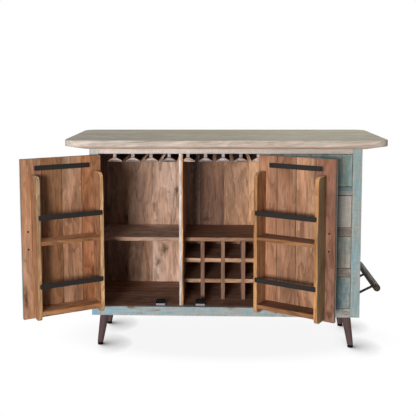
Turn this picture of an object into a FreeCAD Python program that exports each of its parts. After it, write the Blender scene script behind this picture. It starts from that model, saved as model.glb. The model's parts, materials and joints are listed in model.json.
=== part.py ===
import FreeCAD, Part
import os
import re
import Sketcher

# Bar armoire: a free-standing bar cabinet with shelf-lined doors, a wine rack, stemware rails and drawers.
# Frame: X to the right, Y towards the guests' side, Z up; the origin is on the floor under the carcass.
# Its doors stand open at rest. Millimetres and degrees.
DIMENSIONS = {
    # carcass
    "body_width": 1340,
    "body_depth": 470,
    "body_height": 844,
    "leg_height": 178,
    "panel_thickness": 18,
    "back_thickness": 16,
    "divider_thickness": 20,
    "divider_shift": 5,
    # face frame
    "frame_thickness": 22,
    "stile_width": 46,
    "top_rail_height": 24,
    "bottom_rail_height": 46,
    "drawer_rail_height": 42,
    "door_opening_width": 802,
    # bar top
    "top_thickness": 45,
    "top_side_overhang": 124,
    "top_front_overhang": 39,
    "top_back_overhang": 169,
    "top_corner_radius": 65,
    "top_bevel_height": 15,
    "top_bevel_width": 40,
    "top_end_bevel_width": 95,
    # interior shelves and wine rack
    "shelf_lift": 326,
    "shelf_thickness": 20,
    "shelf_clearance": 7.5,
    "rack_thickness": 20,
    # stemware rails
    "rail_drop": 52,
    "rail_setback": 45,
    "rail_first_offset": 49,
    "rail_last_offset": 102,
    "rail_wall_offset": 25,
    "stem_slot": 19,
    "flange_height": 22,
    "flange_lip": 7,
    "stem_width": 18,
    # door leaves
    "door_gap": 2,
    "meeting_gap": 3,
    "door_back_clearance": 2,
    "door_open_angle": 150,
    # door side boards and shelves
    "side_board_thickness": 18,
    "side_board_depth": 95,
    "side_board_radius": 28,
    "side_board_lift": 10,
    "side_board_drop": 75,
    "hinge_board_inset": 23,
    "free_board_inset": 46,
    "door_shelf_recess": 3,
    "mid_shelf_lift": 390,
    "mid_shelf_thickness": 18,
    "low_shelf_lift": 58,
    "low_shelf_thickness": 20,
    # door ironwork
    "strap_inset": 58,
    "strap_free_inset": 65.5,
    "strap_drop": 33.5,
    "strap_height": 24,
    "strap_thickness": 4,
    "strap_screw_inset": 14,
    "guard_height": 24,
    "guard_thickness": 4,
    "mid_guard_lift": 103,
    "low_guard_lift": 110,
    "guard_overlap": 10,
    "screw_radius": 5,
    "screw_top_radius": 3,
    "screw_height": 2.5,
    # door pulls
    "pull_drop": 4,
    "pull_inset": 30,
    "pull_spacing": 85,
    "pull_section": 11,
    "pull_projection": 32,
    "pull_overhang": 14,
    # door catches and strike plates
    "catch_inset": 98.5,
    "catch_width": 50,
    "catch_depth": 18,
    "catch_height": 28,
    "catch_radius": 10,
    "pole_width": 46,
    "pole_height": 9,
    "pole_thickness": 2,
    "pole_clearance": 0.5,
    "strike_width": 46,
    "strike_height": 22,
    "strike_thickness": 2,
    "strike_lift": 3,
    # door hinges
    "hinge_end_inset": 90,
    "hinge_length": 63,
    "leaf_width": 28,
    "leaf_thickness": 2,
    "barrel_radius": 5,
    "barrel_clearance": 0.3,
    "knuckle_gap": 0.4,
    "pin_radius": 2.5,
    "pin_clearance": 0.05,
    "pin_head_radius": 4,
    "pin_head_height": 2.5,
    # drawers
    "drawer_gap": 1.5,
    "box_clearance": 3,
    "box_side_thickness": 12,
    "box_back_clearance": 32,
    "box_headroom": 24,
    "box_bottom_thickness": 6,
    "box_bottom_lift": 8,
    "runner_height": 12,
    "slide_clearance": 0.3,
    "knob_stem_radius": 6,
    "knob_stem_length": 13,
    "knob_back_radius": 10,
    "knob_radius": 15,
    "knob_flare": 5,
    "knob_band": 4,
    "knob_crown": 4,
    "knob_face_radius": 9,
    # legs
    "foot_inset_x": 30,
    "foot_inset_y": 75,
    "leg_splay": 24,
    "leg_top_radius": 24,
    "leg_foot_radius": 15,
    "plate_width": 64,
    "plate_thickness": 4,
    "block_size": 110,
    "glide_radius": 14,
    "glide_height": 13,
    # foot rails
    "footrail_lift": 139,
    "footrail_standoff": 93,
    "footrail_radius": 17.5,
    "end_footrail_front_inset": 30,
    "end_footrail_back_reach": 45,
    "back_footrail_inset": 100,
    "strut_radius": 6,
    "strut_drop": 49,
    "strut_socket": 8,
    "strut_clearance": 0.05,
    "end_strut_inset": 72,
    "end_strut_spacing": 221,
    "back_strut_inset": 140,
    "rosette_radius": 16,
    "rosette_thickness": 4,
    # how far a cutting tool runs past the piece that it cuts
    "overrun": 5,
}
BACK_PLANKS = 10
DOOR_PLANKS = 4
DRAWERS = 4
HINGES = 3
RACK_COLUMNS = 4
RACK_ROWS = 3
LEFT_GLASS_RAILS = 4
RIGHT_GLASS_RAILS = 5

doc = FreeCAD.newDocument("bar_armoire")
sheet = doc.addObject("Spreadsheet::Sheet", "Dimensions")
for row, (alias, size) in enumerate(DIMENSIONS.items(), start=1):
    sheet.set(f"A{row}", alias)
    sheet.set(f"B{row}", str(size))
    sheet.setAlias(f"B{row}", alias)
doc.recompute()

NAMES = re.compile(r"\b(" + "|".join(DIMENSIONS) + r")\b")
X_AXIS = FreeCAD.Vector(1, 0, 0)
Y_AXIS = FreeCAD.Vector(0, 1, 0)
Z_AXIS = FreeCAD.Vector(0, 0, 1)
nodes = {}


# Places that several pieces share, as formulas of the driving dimensions
left = "(-body_width / 2)"
right = "(body_width / 2)"
front = "(-body_depth / 2)"
back = "(body_depth / 2)"
crown = "(leg_height + body_height)"
frame_back = f"({front} + frame_thickness)"
back_inside = f"({back} - back_thickness)"
inner_left = f"({left} + panel_thickness)"
inner_right = f"({right} - panel_thickness)"
inner_depth = f"({back_inside} - {frame_back})"
opening_low = "(leg_height + bottom_rail_height)"
opening_high = f"({crown} - top_rail_height)"
ceiling_low = f"({crown} - panel_thickness)"
floor_low = f"({opening_low} - panel_thickness)"
door_left = f"({left} + stile_width)"
door_right = f"({door_left} + door_opening_width)"
meeting = f"({door_left} + door_opening_width / 2)"
drawer_left = f"({door_right} + stile_width)"
drawer_right = f"({right} - stile_width)"
drawer_width = f"({drawer_right} - {drawer_left})"
footrail_height = "(leg_height + footrail_lift)"
top_length = "(body_width + 2 * top_side_overhang)"
top_depth = "(body_depth + top_front_overhang + top_back_overhang)"
drawer_room = f"(({opening_high} - {opening_low} - {DRAWERS - 1} * drawer_rail_height) / {DRAWERS})"
divider_left = f"({meeting} + divider_shift - divider_thickness / 2)"
divider_right = f"({divider_left} + divider_thickness)"
partition_left = f"({door_right} + (stile_width - panel_thickness) / 2)"
partition_right = f"({partition_left} + panel_thickness)"
guard_front = f"({frame_back} + side_board_depth + guard_thickness + screw_height)"
shelf_front = f"({guard_front} + shelf_clearance)"
shelf_low = f"({opening_low} + shelf_lift - shelf_thickness)"
pin_depth = "(barrel_radius + barrel_clearance)"
hinge_y = f"({front} - {pin_depth})"
door_low = f"({opening_low} + door_gap)"
door_high = f"({opening_high} - door_gap)"
door_height = f"({door_high} - {door_low})"
door_width = "(door_opening_width / 2 - door_gap - meeting_gap / 2)"
strap_length = f"({door_width} - strap_inset - strap_free_inset)"
pull_height = f"(({door_low} + {door_high}) / 2 - pull_drop)"
catch_reach = f"({door_width} - catch_inset)"


def bound(formula):
    """The formula with every named size turned into a reference to its cell."""
    return NAMES.sub(r"Dimensions.\1", str(formula))


def value(formula):
    """What the formula comes to."""
    return float(sheet.evalExpression(bound(formula)))


def vector(x, y, z):
    """A point given as three formulas."""
    return FreeCAD.Vector(value(x), value(y), value(z))


def bind(piece, **sizes):
    """Ties properties of a piece to formulas."""
    for name, formula in sizes.items():
        piece.setExpression(name, bound(formula))
    return piece


def place(piece, corner):
    """Ties the place of a piece to three formulas."""
    for axis, formula in zip("xyz", corner):
        piece.setExpression(f"Placement.Base.{axis}", bound(formula))
    return piece


def box(name, corner, size):
    """A straight board from its lowest corner and its three sizes."""
    piece = doc.addObject("Part::Box", name)
    bind(piece, Length=size[0], Width=size[1], Height=size[2])
    return place(piece, corner)


def cylinder(name, radius, height, base, turn=None):
    """A round bar that starts at base and runs along Z, turned by the rotation."""
    piece = doc.addObject("Part::Cylinder", name)
    bind(piece, Radius=radius, Height=height)
    piece.Placement = FreeCAD.Placement(vector(*base), turn or FreeCAD.Rotation())
    return piece


def join(name, pieces):
    """One solid of several pieces."""
    piece = doc.addObject("Part::MultiFuse", name)
    piece.Shapes = pieces
    return piece


def cut(name, base, tool):
    """The base with the tool taken out of it."""
    piece = doc.addObject("Part::Cut", name)
    piece.Base = base
    piece.Tool = tool
    return piece


def node(label, pieces, placement=None):
    """A named sub-part made of one or more separate solids."""
    group = doc.addObject("Part::Compound", label)
    group.Label = label
    group.Links = pieces
    if placement:
        group.Placement = placement
    nodes[label] = group
    return group


def outline(body, role, points):
    """A closed outline of straight lines on one of the body's own planes, its corners tied to formulas."""
    sketch = body.newObject("Sketcher::SketchObject", body.Name + "_outline")
    sketch.AttachmentSupport = [(next(f for f in body.Origin.OriginFeatures if f.Role == role), "")]
    sketch.MapMode = "FlatFace"
    corners = [vector(x, y, 0) for x, y in points]
    count = len(corners)
    for number, corner in enumerate(corners):
        sketch.addGeometry(Part.LineSegment(corner, corners[(number + 1) % count]), False)
    for number in range(count):
        sketch.addConstraint(Sketcher.Constraint("Coincident", number, 2, (number + 1) % count, 1))
    for number, point in enumerate(points):
        for kind, axis, formula in (("DistanceX", -2, point[0]), ("DistanceY", -1, point[1])):
            length = value(formula)
            if length == 0:
                sketch.addConstraint(Sketcher.Constraint("PointOnObject", number, 1, axis))
            else:
                index = sketch.addConstraint(Sketcher.Constraint(kind, -1, 1, number, 1, length))
                sketch.setExpression(f"Constraints[{index}]", bound(formula))
    return sketch


def rectangle(width, height):
    """The corners of a rectangle that starts at the origin."""
    return [(0, 0), (width, 0), (width, height), (0, height)]


def prism(name, role, points, length, reverse=False):
    """A body padded from an outline."""
    body = doc.addObject("PartDesign::Body", name)
    pad = body.newObject("PartDesign::Pad", name + "_pad")
    pad.Profile = outline(body, role, points)
    pad.Reversed = reverse
    bind(pad, Length=length)
    body.Tip = pad
    doc.recompute()
    return body


def turned(name, points):
    """A body turned round its own Z axis from a half outline."""
    body = doc.addObject("PartDesign::Body", name)
    sketch = outline(body, "XZ_Plane", points)
    spin = body.newObject("PartDesign::Revolution", name + "_turn")
    spin.Profile = sketch
    spin.ReferenceAxis = (sketch, ["V_Axis"])
    spin.Angle = 360
    body.Tip = spin
    doc.recompute()
    return body


def edges_where(shape, test):
    """Names of the edges that pass the test."""
    return [f"Edge{number}" for number, edge in enumerate(shape.Edges, start=1) if test(edge)]


def rounded(body, test, radius):
    """Rounds the edges of a body that pass the test."""
    base = body.Tip
    fillet = body.newObject("PartDesign::Fillet", body.Name + "_round")
    fillet.Base = (base, edges_where(base.Shape, test))
    bind(fillet, Radius=radius)
    body.Tip = fillet
    doc.recompute()
    return body


def along(edge, axis):
    """Whether the edge is straight and runs along the axis."""
    straight = len(edge.Vertexes) == 2 and isinstance(edge.Curve, Part.Line)
    return straight and abs(abs(edge.Curve.Direction.dot(axis)) - 1) < 1e-6


def make_bar_top():
    """Thick slab with rounded plan corners and a shallow bevel under its edge, planed wider at both ends."""
    slab = prism("bar_top_slab", "XY_Plane", rectangle(top_length, top_depth), "top_thickness")
    rounded(slab, lambda edge: along(edge, Z_AXIS), "top_corner_radius")
    base = slab.Tip
    bevel = slab.newObject("PartDesign::Chamfer", "bar_top_bevel")
    bevel.Base = (base, edges_where(base.Shape, lambda edge: edge.BoundBox.ZMax < value("top_thickness / 2")))
    bevel.ChamferType = "Two distances"
    bevel.FlipDirection = True
    bind(bevel, Size="top_bevel_width", Size2="top_bevel_height")
    slab.Tip = bevel
    near = f"{front} - top_front_overhang"
    piece = place(slab, (f"-{top_length} / 2", near, crown))
    slope = "(top_bevel_height / top_end_bevel_width)"
    for side in (-1, 1):
        points = [
            (f"{side} * overrun", "-overrun"),
            (f"-{side} * (top_end_bevel_width + overrun / {slope})", "-overrun"),
            (f"{side} * overrun", f"top_bevel_height + overrun * {slope}"),
        ]
        wedge = prism("bar_top_end_wedge", "XZ_Plane", points, f"{top_depth} + 2 * overrun", reverse=True)
        place(wedge, (f"{side} * {top_length} / 2", f"{near} - overrun", crown))
        piece = cut("bar_top_planed", piece, wedge)
    node("bar_top", [piece])


def make_carcass():
    """Side panels, floor, top board, back planks, divider and drawer partition."""
    for label, x in (("left_side_panel", left), ("right_side_panel", inner_right)):
        size = ("panel_thickness", inner_depth, "body_height")
        node(label, [box(label + "_board", (x, frame_back, "leg_height"), size)])
    size = (f"{inner_right} - {inner_left}", inner_depth, "panel_thickness")
    for label, z in (("floor_board", floor_low), ("ceiling_board", ceiling_low)):
        node(label, [box(label + "_board", (inner_left, frame_back, z), size)])
    planks = []
    size = (f"body_width / {BACK_PLANKS}", "back_thickness", "body_height")
    for number in range(BACK_PLANKS):
        corner = (f"{left} + {number} * body_width / {BACK_PLANKS}", back_inside, "leg_height")
        planks.append(box("back_plank", corner, size))
    node("back_planks", planks)
    height = f"{ceiling_low} - {opening_low}"
    start = f"({frame_back} + door_back_clearance)"
    size = ("divider_thickness", f"{back_inside} - {start}", height)
    node("centre_divider", [box("divider_board", (divider_left, start, opening_low), size)])
    size = ("panel_thickness", inner_depth, height)
    node("drawer_partition", [box("partition_board", (partition_left, frame_back, opening_low), size)])


def drawer_low(number):
    """Height of the bottom of a drawer's opening, counted from the top drawer."""
    return f"({opening_high} - {number + 1} * {drawer_room} - {number} * drawer_rail_height)"


def make_face_frame():
    """Full-height end stiles, the long rails fitted between them, and between those the stile beside the
    drawers and the rails of the drawers."""
    size = ("stile_width", "frame_thickness", "body_height")
    stiles = [box("stile", (x, front, "leg_height"), size) for x in (left, drawer_right)]
    size = ("stile_width", "frame_thickness", f"{opening_high} - {opening_low}")
    stiles.append(box("inner_stile", (door_right, front, opening_low), size))
    node("face_frame_stiles", stiles)
    rails = []
    width = f"{drawer_right} - {door_left}"
    for z, height in ((opening_high, "top_rail_height"), ("leg_height", "bottom_rail_height")):
        rails.append(box("rail", (door_left, front, z), (width, "frame_thickness", height)))
    for number in range(DRAWERS - 1):
        corner = (drawer_left, front, f"{drawer_low(number)} - drawer_rail_height")
        rails.append(box("drawer_rail", corner, (drawer_width, "frame_thickness", "drawer_rail_height")))
    node("face_frame_rails", rails)


def make_shelves():
    """The two interior shelves, set back to leave room for the shelves on the doors."""
    depth = f"{back_inside} - {shelf_front}"
    bays = {"left_shelf": (inner_left, divider_left), "right_shelf": (divider_right, partition_left)}
    for label, (x0, x1) in bays.items():
        size = (f"{x1} - {x0}", depth, "shelf_thickness")
        node(label, [box(label + "_board", (x0, shelf_front, shelf_low), size)])


def make_wine_rack():
    """Uprights and short shelves under the right shelf, one cell to a bottle."""
    depth = f"{back_inside} - {shelf_front}"
    cell = f"(({partition_left} - {divider_right} - {RACK_COLUMNS - 1} * rack_thickness) / {RACK_COLUMNS})"
    storey = f"(({shelf_low} - {opening_low} - {RACK_ROWS - 1} * rack_thickness) / {RACK_ROWS})"
    uprights = []
    for column in range(1, RACK_COLUMNS):
        x = f"{divider_right} + {column} * {cell} + {column - 1} * rack_thickness"
        size = ("rack_thickness", depth, f"{shelf_low} - {opening_low}")
        uprights.append(box("rack_upright", (x, shelf_front, opening_low), size))
    node("wine_rack_uprights", uprights)
    shelves = []
    for column in range(RACK_COLUMNS):
        for row in range(1, RACK_ROWS):
            x = f"{divider_right} + {column} * ({cell} + rack_thickness)"
            z = f"{opening_low} + {row} * {storey} + {row - 1} * rack_thickness"
            shelves.append(box("rack_shelf", (x, shelf_front, z), (cell, depth, "rack_thickness")))
    node("wine_rack_shelves", shelves)


def glass_rail(x, half, reach_left, reach_right):
    """One stemware rail: a stem under the top board and a flange with sloping shoulders. Where a reach is
    less than half the flange's width, the flange is sawn off against a wall."""
    length = f"({back_inside} - {front} - rail_setback)"
    start = f"{front} + rail_setback"
    slope = f"(flange_height - flange_lip) / ({half} - stem_width / 2)"
    points = [
        (f"-{reach_left}", 0),
        (reach_right, 0),
        (reach_right, f"flange_lip + ({half} - {reach_right}) * {slope}"),
        ("stem_width / 2", "flange_height"),
        ("-stem_width / 2", "flange_height"),
        (f"-{reach_left}", f"flange_lip + ({half} - {reach_left}) * {slope}"),
    ]
    flange = prism("glass_rail_flange", "XZ_Plane", points, length, reverse=True)
    place(flange, (x, start, f"{ceiling_low} - rail_drop"))
    corner = (f"{x} - stem_width / 2", start, f"{ceiling_low} - rail_drop + flange_height")
    stem = box("glass_rail_stem", corner, ("stem_width", length, "rail_drop - flange_height"))
    return [flange, stem]


def make_glass_rails():
    """Rails that stemmed glasses hang from, foot up, in both bays."""
    rails = []
    room = f"({divider_left} - {inner_left} - rail_first_offset - rail_last_offset)"
    pitch = f"({room} / {LEFT_GLASS_RAILS - 1})"
    half = f"(({pitch} - stem_slot) / 2)"
    for number in range(LEFT_GLASS_RAILS):
        rails += glass_rail(f"{divider_left} - rail_first_offset - {number} * {pitch}", half, half, half)
    last = RIGHT_GLASS_RAILS - 1
    pitch = f"(({partition_left} - {divider_right} - 2 * rail_wall_offset) / {last})"
    half = f"(({pitch} - stem_slot) / 2)"
    for number in range(RIGHT_GLASS_RAILS):
        reach_left = "rail_wall_offset" if number == 0 else half
        reach_right = "rail_wall_offset" if number == last else half
        x = f"{divider_right} + rail_wall_offset + {number} * {pitch}"
        rails += glass_rail(x, half, reach_left, reach_right)
    node("glass_rails", rails)


def make_legs():
    """Four round tapered legs, splayed outwards, with their plates, corner blocks and glides."""
    plates, blocks, glides = [], [], []
    for side_y, y_word in ((-1, "front"), (1, "back")):
        for side_x, x_word in ((-1, "left"), (1, "right")):
            foot_x, foot_y = f"{side_x} * ({right} - foot_inset_x)", f"{side_y} * ({back} - foot_inset_y)"
            top_x, top_y = f"{foot_x} - {side_x} * leg_splay", f"{foot_y} - {side_y} * leg_splay"
            rings = []
            for radius, centre in (("leg_foot_radius", (foot_x, foot_y, "glide_height")),
                                   ("leg_top_radius", (top_x, top_y, "leg_height"))):
                ring = doc.addObject("Part::Circle", "leg_ring")
                rings.append(place(bind(ring, Radius=radius), centre))
            leg = doc.addObject("Part::Loft", "leg_taper")
            leg.Sections = rings
            leg.Solid = True
            leg.Ruled = True
            node(f"{y_word}_{x_word}_leg", [leg])
            corner = (f"{top_x} - plate_width / 2", f"{top_y} - plate_width / 2", "leg_height")
            plates.append(box("leg_plate", corner, ("plate_width", "plate_width", "plate_thickness")))
            block_x = inner_left if side_x < 0 else f"{inner_right} - block_size"
            block_y = frame_back if side_y < 0 else f"{back_inside} - block_size"
            height = "bottom_rail_height - panel_thickness - plate_thickness"
            corner = (block_x, block_y, "leg_height + plate_thickness")
            blocks.append(box("corner_block", corner, ("block_size", "block_size", height)))
            glides.append(cylinder("glide", "glide_radius", "glide_height", (foot_x, foot_y, 0)))
    node("leg_plates", plates)
    node("corner_blocks", blocks)
    node("foot_glides", glides)


def foot_rail(length, middle, offsets, placement):
    """A round rail with domed ends on slanted struts, made at a face in the YZ plane and then placed. The
    middle and the struts' offsets are places along the rail. Returns the rail and its brackets."""
    run = "sqrt(footrail_standoff ^ 2 + strut_drop ^ 2)"
    lean = FreeCAD.Rotation(FreeCAD.Vector(0, 0, 1), vector("footrail_standoff", 0, "strut_drop"))
    reach = f"{run} - footrail_radius + strut_socket"
    straight = f"({length} - 2 * footrail_radius)"
    lengthwise = FreeCAD.Rotation(X_AXIS, -90)
    outwards = FreeCAD.Rotation(Y_AXIS, 90)
    start = ("footrail_standoff", f"{middle} - {straight} / 2", footrail_height)
    parts = [cylinder("footrail_bar", "footrail_radius", straight, start, lengthwise)]
    for sign in (-1, 1):
        dome = doc.addObject("Part::Sphere", "footrail_dome")
        bind(dome, Radius="footrail_radius")
        end = ("footrail_standoff", f"{middle} + {sign} * {straight} / 2", footrail_height)
        parts.append(place(dome, end))
    rail = join("footrail_whole", parts)
    brackets = []
    for offset in offsets:
        root = (0, offset, f"{footrail_height} - strut_drop")
        socket = cylinder("strut_socket_tool", "strut_radius + strut_clearance", reach, root, lean)
        rail = cut("footrail_drilled", rail, socket)
        rod = cylinder("strut_rod", "strut_radius", reach, root, lean)
        wall_corner = ("-rosette_radius", f"{offset} - rosette_radius",
                       f"{footrail_height} - strut_drop - rosette_radius")
        wall = box("strut_trim", wall_corner,
                   ("rosette_radius + rosette_thickness", "2 * rosette_radius", "2 * rosette_radius"))
        strut = cut("strut", rod, wall)
        strut.Placement = placement
        rise = "rosette_thickness * strut_drop / footrail_standoff"
        centre = (0, offset, f"{footrail_height} - strut_drop + {rise}")
        disc = cylinder("rosette_disc", "rosette_radius", "rosette_thickness", centre, outwards)
        disc.Placement = placement.multiply(disc.Placement)
        brackets += [strut, disc]
    rail.Placement = placement
    return rail, brackets


def make_foot_rails():
    """Foot rails on both ends and on the guests' side."""
    ends, brackets = [], []
    start = f"({front} + end_footrail_front_inset)"
    length = f"({back} + end_footrail_back_reach - {start})"
    strut = f"({start} + end_strut_inset)"
    for side, x in ((1, right), (-1, left)):
        placement = FreeCAD.Placement(vector(x, 0, 0), FreeCAD.Rotation(Z_AXIS, 90 - side * 90))
        offsets = [f"({side} * {spot})" for spot in (strut, f"({strut} + end_strut_spacing)")]
        rail, struts = foot_rail(length, f"({side} * ({start} + {length} / 2))", offsets, placement)
        ends.append(rail)
        brackets += struts
    node("end_foot_rails", ends)
    placement = FreeCAD.Placement(vector(0, back, 0), FreeCAD.Rotation(Z_AXIS, 90))
    length = "(body_width - 2 * back_footrail_inset)"
    reach = f"({length} / 2 - back_strut_inset)"
    rail, struts = foot_rail(length, "0", (f"-{reach}", "0", reach), placement)
    node("back_foot_rail", [rail])
    node("foot_rail_brackets", brackets + struts)


class Door:
    """Where one door's pieces lie. Shut, its pieces run from the hinge side (near) to the free edge."""

    def __init__(self, word, side):
        self.word = word
        self.side = side
        self.edge = f"({door_left} + door_gap)" if side > 0 else f"({door_right} - door_gap)"
        self.pin_x = f"({self.edge} - {side} * door_gap / 2)"
        centre = vector(self.pin_x, hinge_y, 0)
        swing = FreeCAD.Rotation(Z_AXIS, -side * value("door_open_angle"))
        self.opened = FreeCAD.Placement(FreeCAD.Vector(), swing, centre)

    def x(self, near, width=0):
        """Lowest X of a piece that starts this far from the door's hinge edge and is this wide."""
        return f"({self.edge} + ({near}))" if self.side > 0 else f"({self.edge} - ({near}) - ({width}))"

    def node(self, name, pieces):
        """A named sub-part of this door, swung to its open place."""
        node(f"{self.word}_door_{name}", pieces, self.opened)


def screw(x, y, z):
    """A domed screw head that stands on a face looking into the cabinet."""
    head = doc.addObject("Part::Cone", "screw_head")
    bind(head, Radius1="screw_radius", Radius2="screw_top_radius", Height="screw_height")
    head.Placement = FreeCAD.Placement(vector(x, y, z), FreeCAD.Rotation(X_AXIS, -90))
    return head


def make_door_boards(door):
    """Planks, the two side boards and the two shelves between them."""
    planks = []
    width = f"({door_width} / {DOOR_PLANKS})"
    for number in range(DOOR_PLANKS):
        corner = (door.x(f"{number} * {width}", width), front, door_low)
        planks.append(box("door_plank", corner, (width, "frame_thickness", door_height)))
    door.node("planks", planks)
    low = f"({door_low} + side_board_lift)"
    height = f"({door_high} - side_board_drop - {low})"
    free_near = f"({door_width} - free_board_inset - side_board_thickness)"
    boards = []
    shape = rectangle("side_board_depth", height)
    outer = value("side_board_depth / 2")
    for near in ("hinge_board_inset", free_near):
        board = prism("door_side_board", "YZ_Plane", shape, "side_board_thickness")
        rounded(board, lambda edge: along(edge, X_AXIS) and edge.BoundBox.YMin > outer, "side_board_radius")
        boards.append(place(board, (door.x(near, "side_board_thickness"), frame_back, low)))
    door.node("side_boards", boards)
    near = "hinge_board_inset + side_board_thickness"
    span = f"({free_near} - ({near}))"
    shelves = []
    for level in ("mid", "low"):
        thickness = f"{level}_shelf_thickness"
        corner = (door.x(near, span), frame_back, f"{opening_low} + {level}_shelf_lift - {thickness}")
        shelves.append(box("door_shelf", corner, (span, "side_board_depth - door_shelf_recess", thickness)))
    door.node("shelves", shelves)
    return near, span


def make_door_ironwork(door, near, span):
    """Strap on the inner face, guard bars across the side boards, and their screw heads and the pull's."""
    strap_low = f"({door_high} - strap_drop - strap_height)"
    corner = (door.x("strap_inset", strap_length), frame_back, strap_low)
    door.node("face_strap", [box("strap", corner, (strap_length, "strap_thickness", "strap_height"))])
    screws = []
    y, z = f"{frame_back} + strap_thickness", f"{strap_low} + strap_height / 2"
    for inset in ("strap_inset + strap_screw_inset", f"strap_inset + {strap_length} - strap_screw_inset"):
        screws.append(screw(door.x(inset), y, z))
    guards = []
    guard_near, guard_span = f"{near} - guard_overlap", f"({span} + 2 * guard_overlap)"
    guard_y = f"({frame_back} + side_board_depth)"
    for level in ("mid", "low"):
        low = f"({opening_low} + {level}_shelf_lift + {level}_guard_lift)"
        corner = (door.x(guard_near, guard_span), guard_y, low)
        guards.append(box("guard_bar", corner, (guard_span, "guard_thickness", "guard_height")))
        for inset in (f"{near} - guard_overlap / 2", f"{near} + {span} + guard_overlap / 2"):
            screws.append(screw(door.x(inset), f"{guard_y} + guard_thickness", f"{low} + guard_height / 2"))
    door.node("guard_bars", guards)
    for sign in (-1, 1):
        height = f"{pull_height} + {sign} * pull_spacing / 2"
        screws.append(screw(door.x(f"{door_width} - pull_inset"), frame_back, height))
    door.node("screws", screws)


def make_door_fittings(door):
    """Pull on the outer face and strike plate on the inner face."""
    near = f"{door_width} - pull_inset - pull_section / 2"
    post_length = "(pull_projection - pull_section)"
    pieces = []
    for sign in (-1, 1):
        z = f"{pull_height} + {sign} * pull_spacing / 2 - pull_section / 2"
        corner = (door.x(near, "pull_section"), f"{front} - {post_length}", z)
        pieces.append(box("pull_post", corner, ("pull_section", post_length, "pull_section")))
    length = "(pull_spacing + 2 * pull_overhang)"
    corner = (door.x(near, "pull_section"), f"{front} - pull_projection", f"{pull_height} - {length} / 2")
    pieces.append(box("pull_grip", corner, ("pull_section", "pull_section", length)))
    door.node("pull", pieces)
    x = door.x(f"{catch_reach} - strike_width / 2", "strike_width")
    size = ("strike_width", "strike_thickness", "strike_height")
    door.node("strike_plate", [box("strike", (x, frame_back, f"{door_low} + strike_lift"), size)])


def hinge_leaf(door, low, toward_door):
    """One leaf of a hinge: a plate on the front face and its knuckles, bored for the pin. The frame's leaf
    carries the outer two knuckles and the door's leaf the middle one."""
    side = door.side if toward_door else -door.side
    third = "(hinge_length / 3)"
    edge = "(barrel_radius + knuckle_gap)"
    plate_x = f"{door.pin_x} + {edge}" if side > 0 else f"{door.pin_x} - {edge} - leaf_width"
    plate_y = f"{front} - leaf_thickness"
    pieces = [box("leaf_plate", (plate_x, plate_y, low), ("leaf_width", "leaf_thickness", "hinge_length"))]
    tab_x = door.pin_x if side > 0 else f"{door.pin_x} - {edge}"
    for number in (1,) if toward_door else (0, 2):
        bottom = f"({low} + {number} * {third})"
        height = third
        if toward_door:
            bottom = f"({bottom} + knuckle_gap)"
            height = f"({third} - 2 * knuckle_gap)"
        pieces.append(box("leaf_tab", (tab_x, plate_y, bottom), (edge, "leaf_thickness", height)))
        pieces.append(cylinder("knuckle", "barrel_radius", height, (door.pin_x, hinge_y, bottom)))
    bore = cylinder("knuckle_bore", "pin_radius + pin_clearance", "hinge_length + 2 * overrun",
                    (door.pin_x, hinge_y, f"{low} - overrun"))
    return cut("hinge_leaf", join("leaf_whole", pieces), bore)


def make_hinges(door):
    """Surface hinges down the hinge side. Returns the leaves and pins that stay with the frame."""
    frame_leaves, door_leaves, pins = [], [], []
    lowest = f"({door_low} + hinge_end_inset)"
    step = f"(({door_height} - 2 * hinge_end_inset - hinge_length) / {HINGES - 1})"
    for number in range(HINGES):
        low = f"({lowest} + {number} * {step})"
        frame_leaves.append(hinge_leaf(door, low, toward_door=False))
        door_leaves.append(hinge_leaf(door, low, toward_door=True))
        top = f"{low} + hinge_length"
        shank = cylinder("pin_shank", "pin_radius", "hinge_length", (door.pin_x, hinge_y, low))
        head = cylinder("pin_head", "pin_head_radius", "pin_head_height", (door.pin_x, hinge_y, top))
        pins.append(join("hinge_pin", [shank, head]))
    door.node("hinge_leaves", door_leaves)
    return frame_leaves, pins


def make_catch(door):
    """A magnetic catch on the carcass floor: a rounded housing with a steel pole plate facing the door."""
    pole_y = f"({frame_back} + strike_thickness + pole_clearance)"
    corner = (door.x(f"{catch_reach} - pole_width / 2", "pole_width"), pole_y, opening_low)
    pole = box("catch_pole", corner, ("pole_width", "pole_thickness", "pole_height"))
    shape = rectangle("catch_width", "catch_height")
    housing = prism("catch_housing", "XZ_Plane", shape, "catch_depth", reverse=True)
    shoulder = value("catch_height / 2")
    rounded(housing, lambda edge: along(edge, Y_AXIS) and edge.BoundBox.ZMin > shoulder, "catch_radius")
    x = door.x(f"{catch_reach} - catch_width / 2", "catch_width")
    place(housing, (x, f"{pole_y} + pole_thickness", opening_low))
    return housing, pole


def make_doors():
    """Both doors with their hinges and catches."""
    frame_leaves, pins, catches, poles = [], [], [], []
    for word, side in (("left", 1), ("right", -1)):
        door = Door(word, side)
        near, span = make_door_boards(door)
        make_door_ironwork(door, near, span)
        make_door_fittings(door)
        leaves, door_pins = make_hinges(door)
        frame_leaves += leaves
        pins += door_pins
        housing, pole = make_catch(door)
        catches.append(housing)
        poles.append(pole)
    node("hinge_frame_leaves", frame_leaves)
    node("hinge_pins", pins)
    node("door_catches", catches)
    node("catch_poles", poles)


def make_knob(low):
    """A turned iron knob in the middle of a drawer front."""
    flare = "(knob_stem_length + knob_flare)"
    rim = f"({flare} + knob_band)"
    points = [
        (0, 0),
        ("knob_stem_radius", 0),
        ("knob_stem_radius", "knob_stem_length"),
        ("knob_back_radius", "knob_stem_length"),
        ("knob_radius", flare),
        ("knob_radius", rim),
        ("knob_face_radius", f"{rim} + knob_crown"),
        (0, f"{rim} + knob_crown"),
    ]
    knob = turned("knob_body", points)
    centre = vector(f"({drawer_left} + {drawer_right}) / 2", front, f"{low} + {drawer_room} / 2")
    knob.Placement = FreeCAD.Placement(centre, FreeCAD.Rotation(X_AXIS, 90))
    return knob


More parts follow.
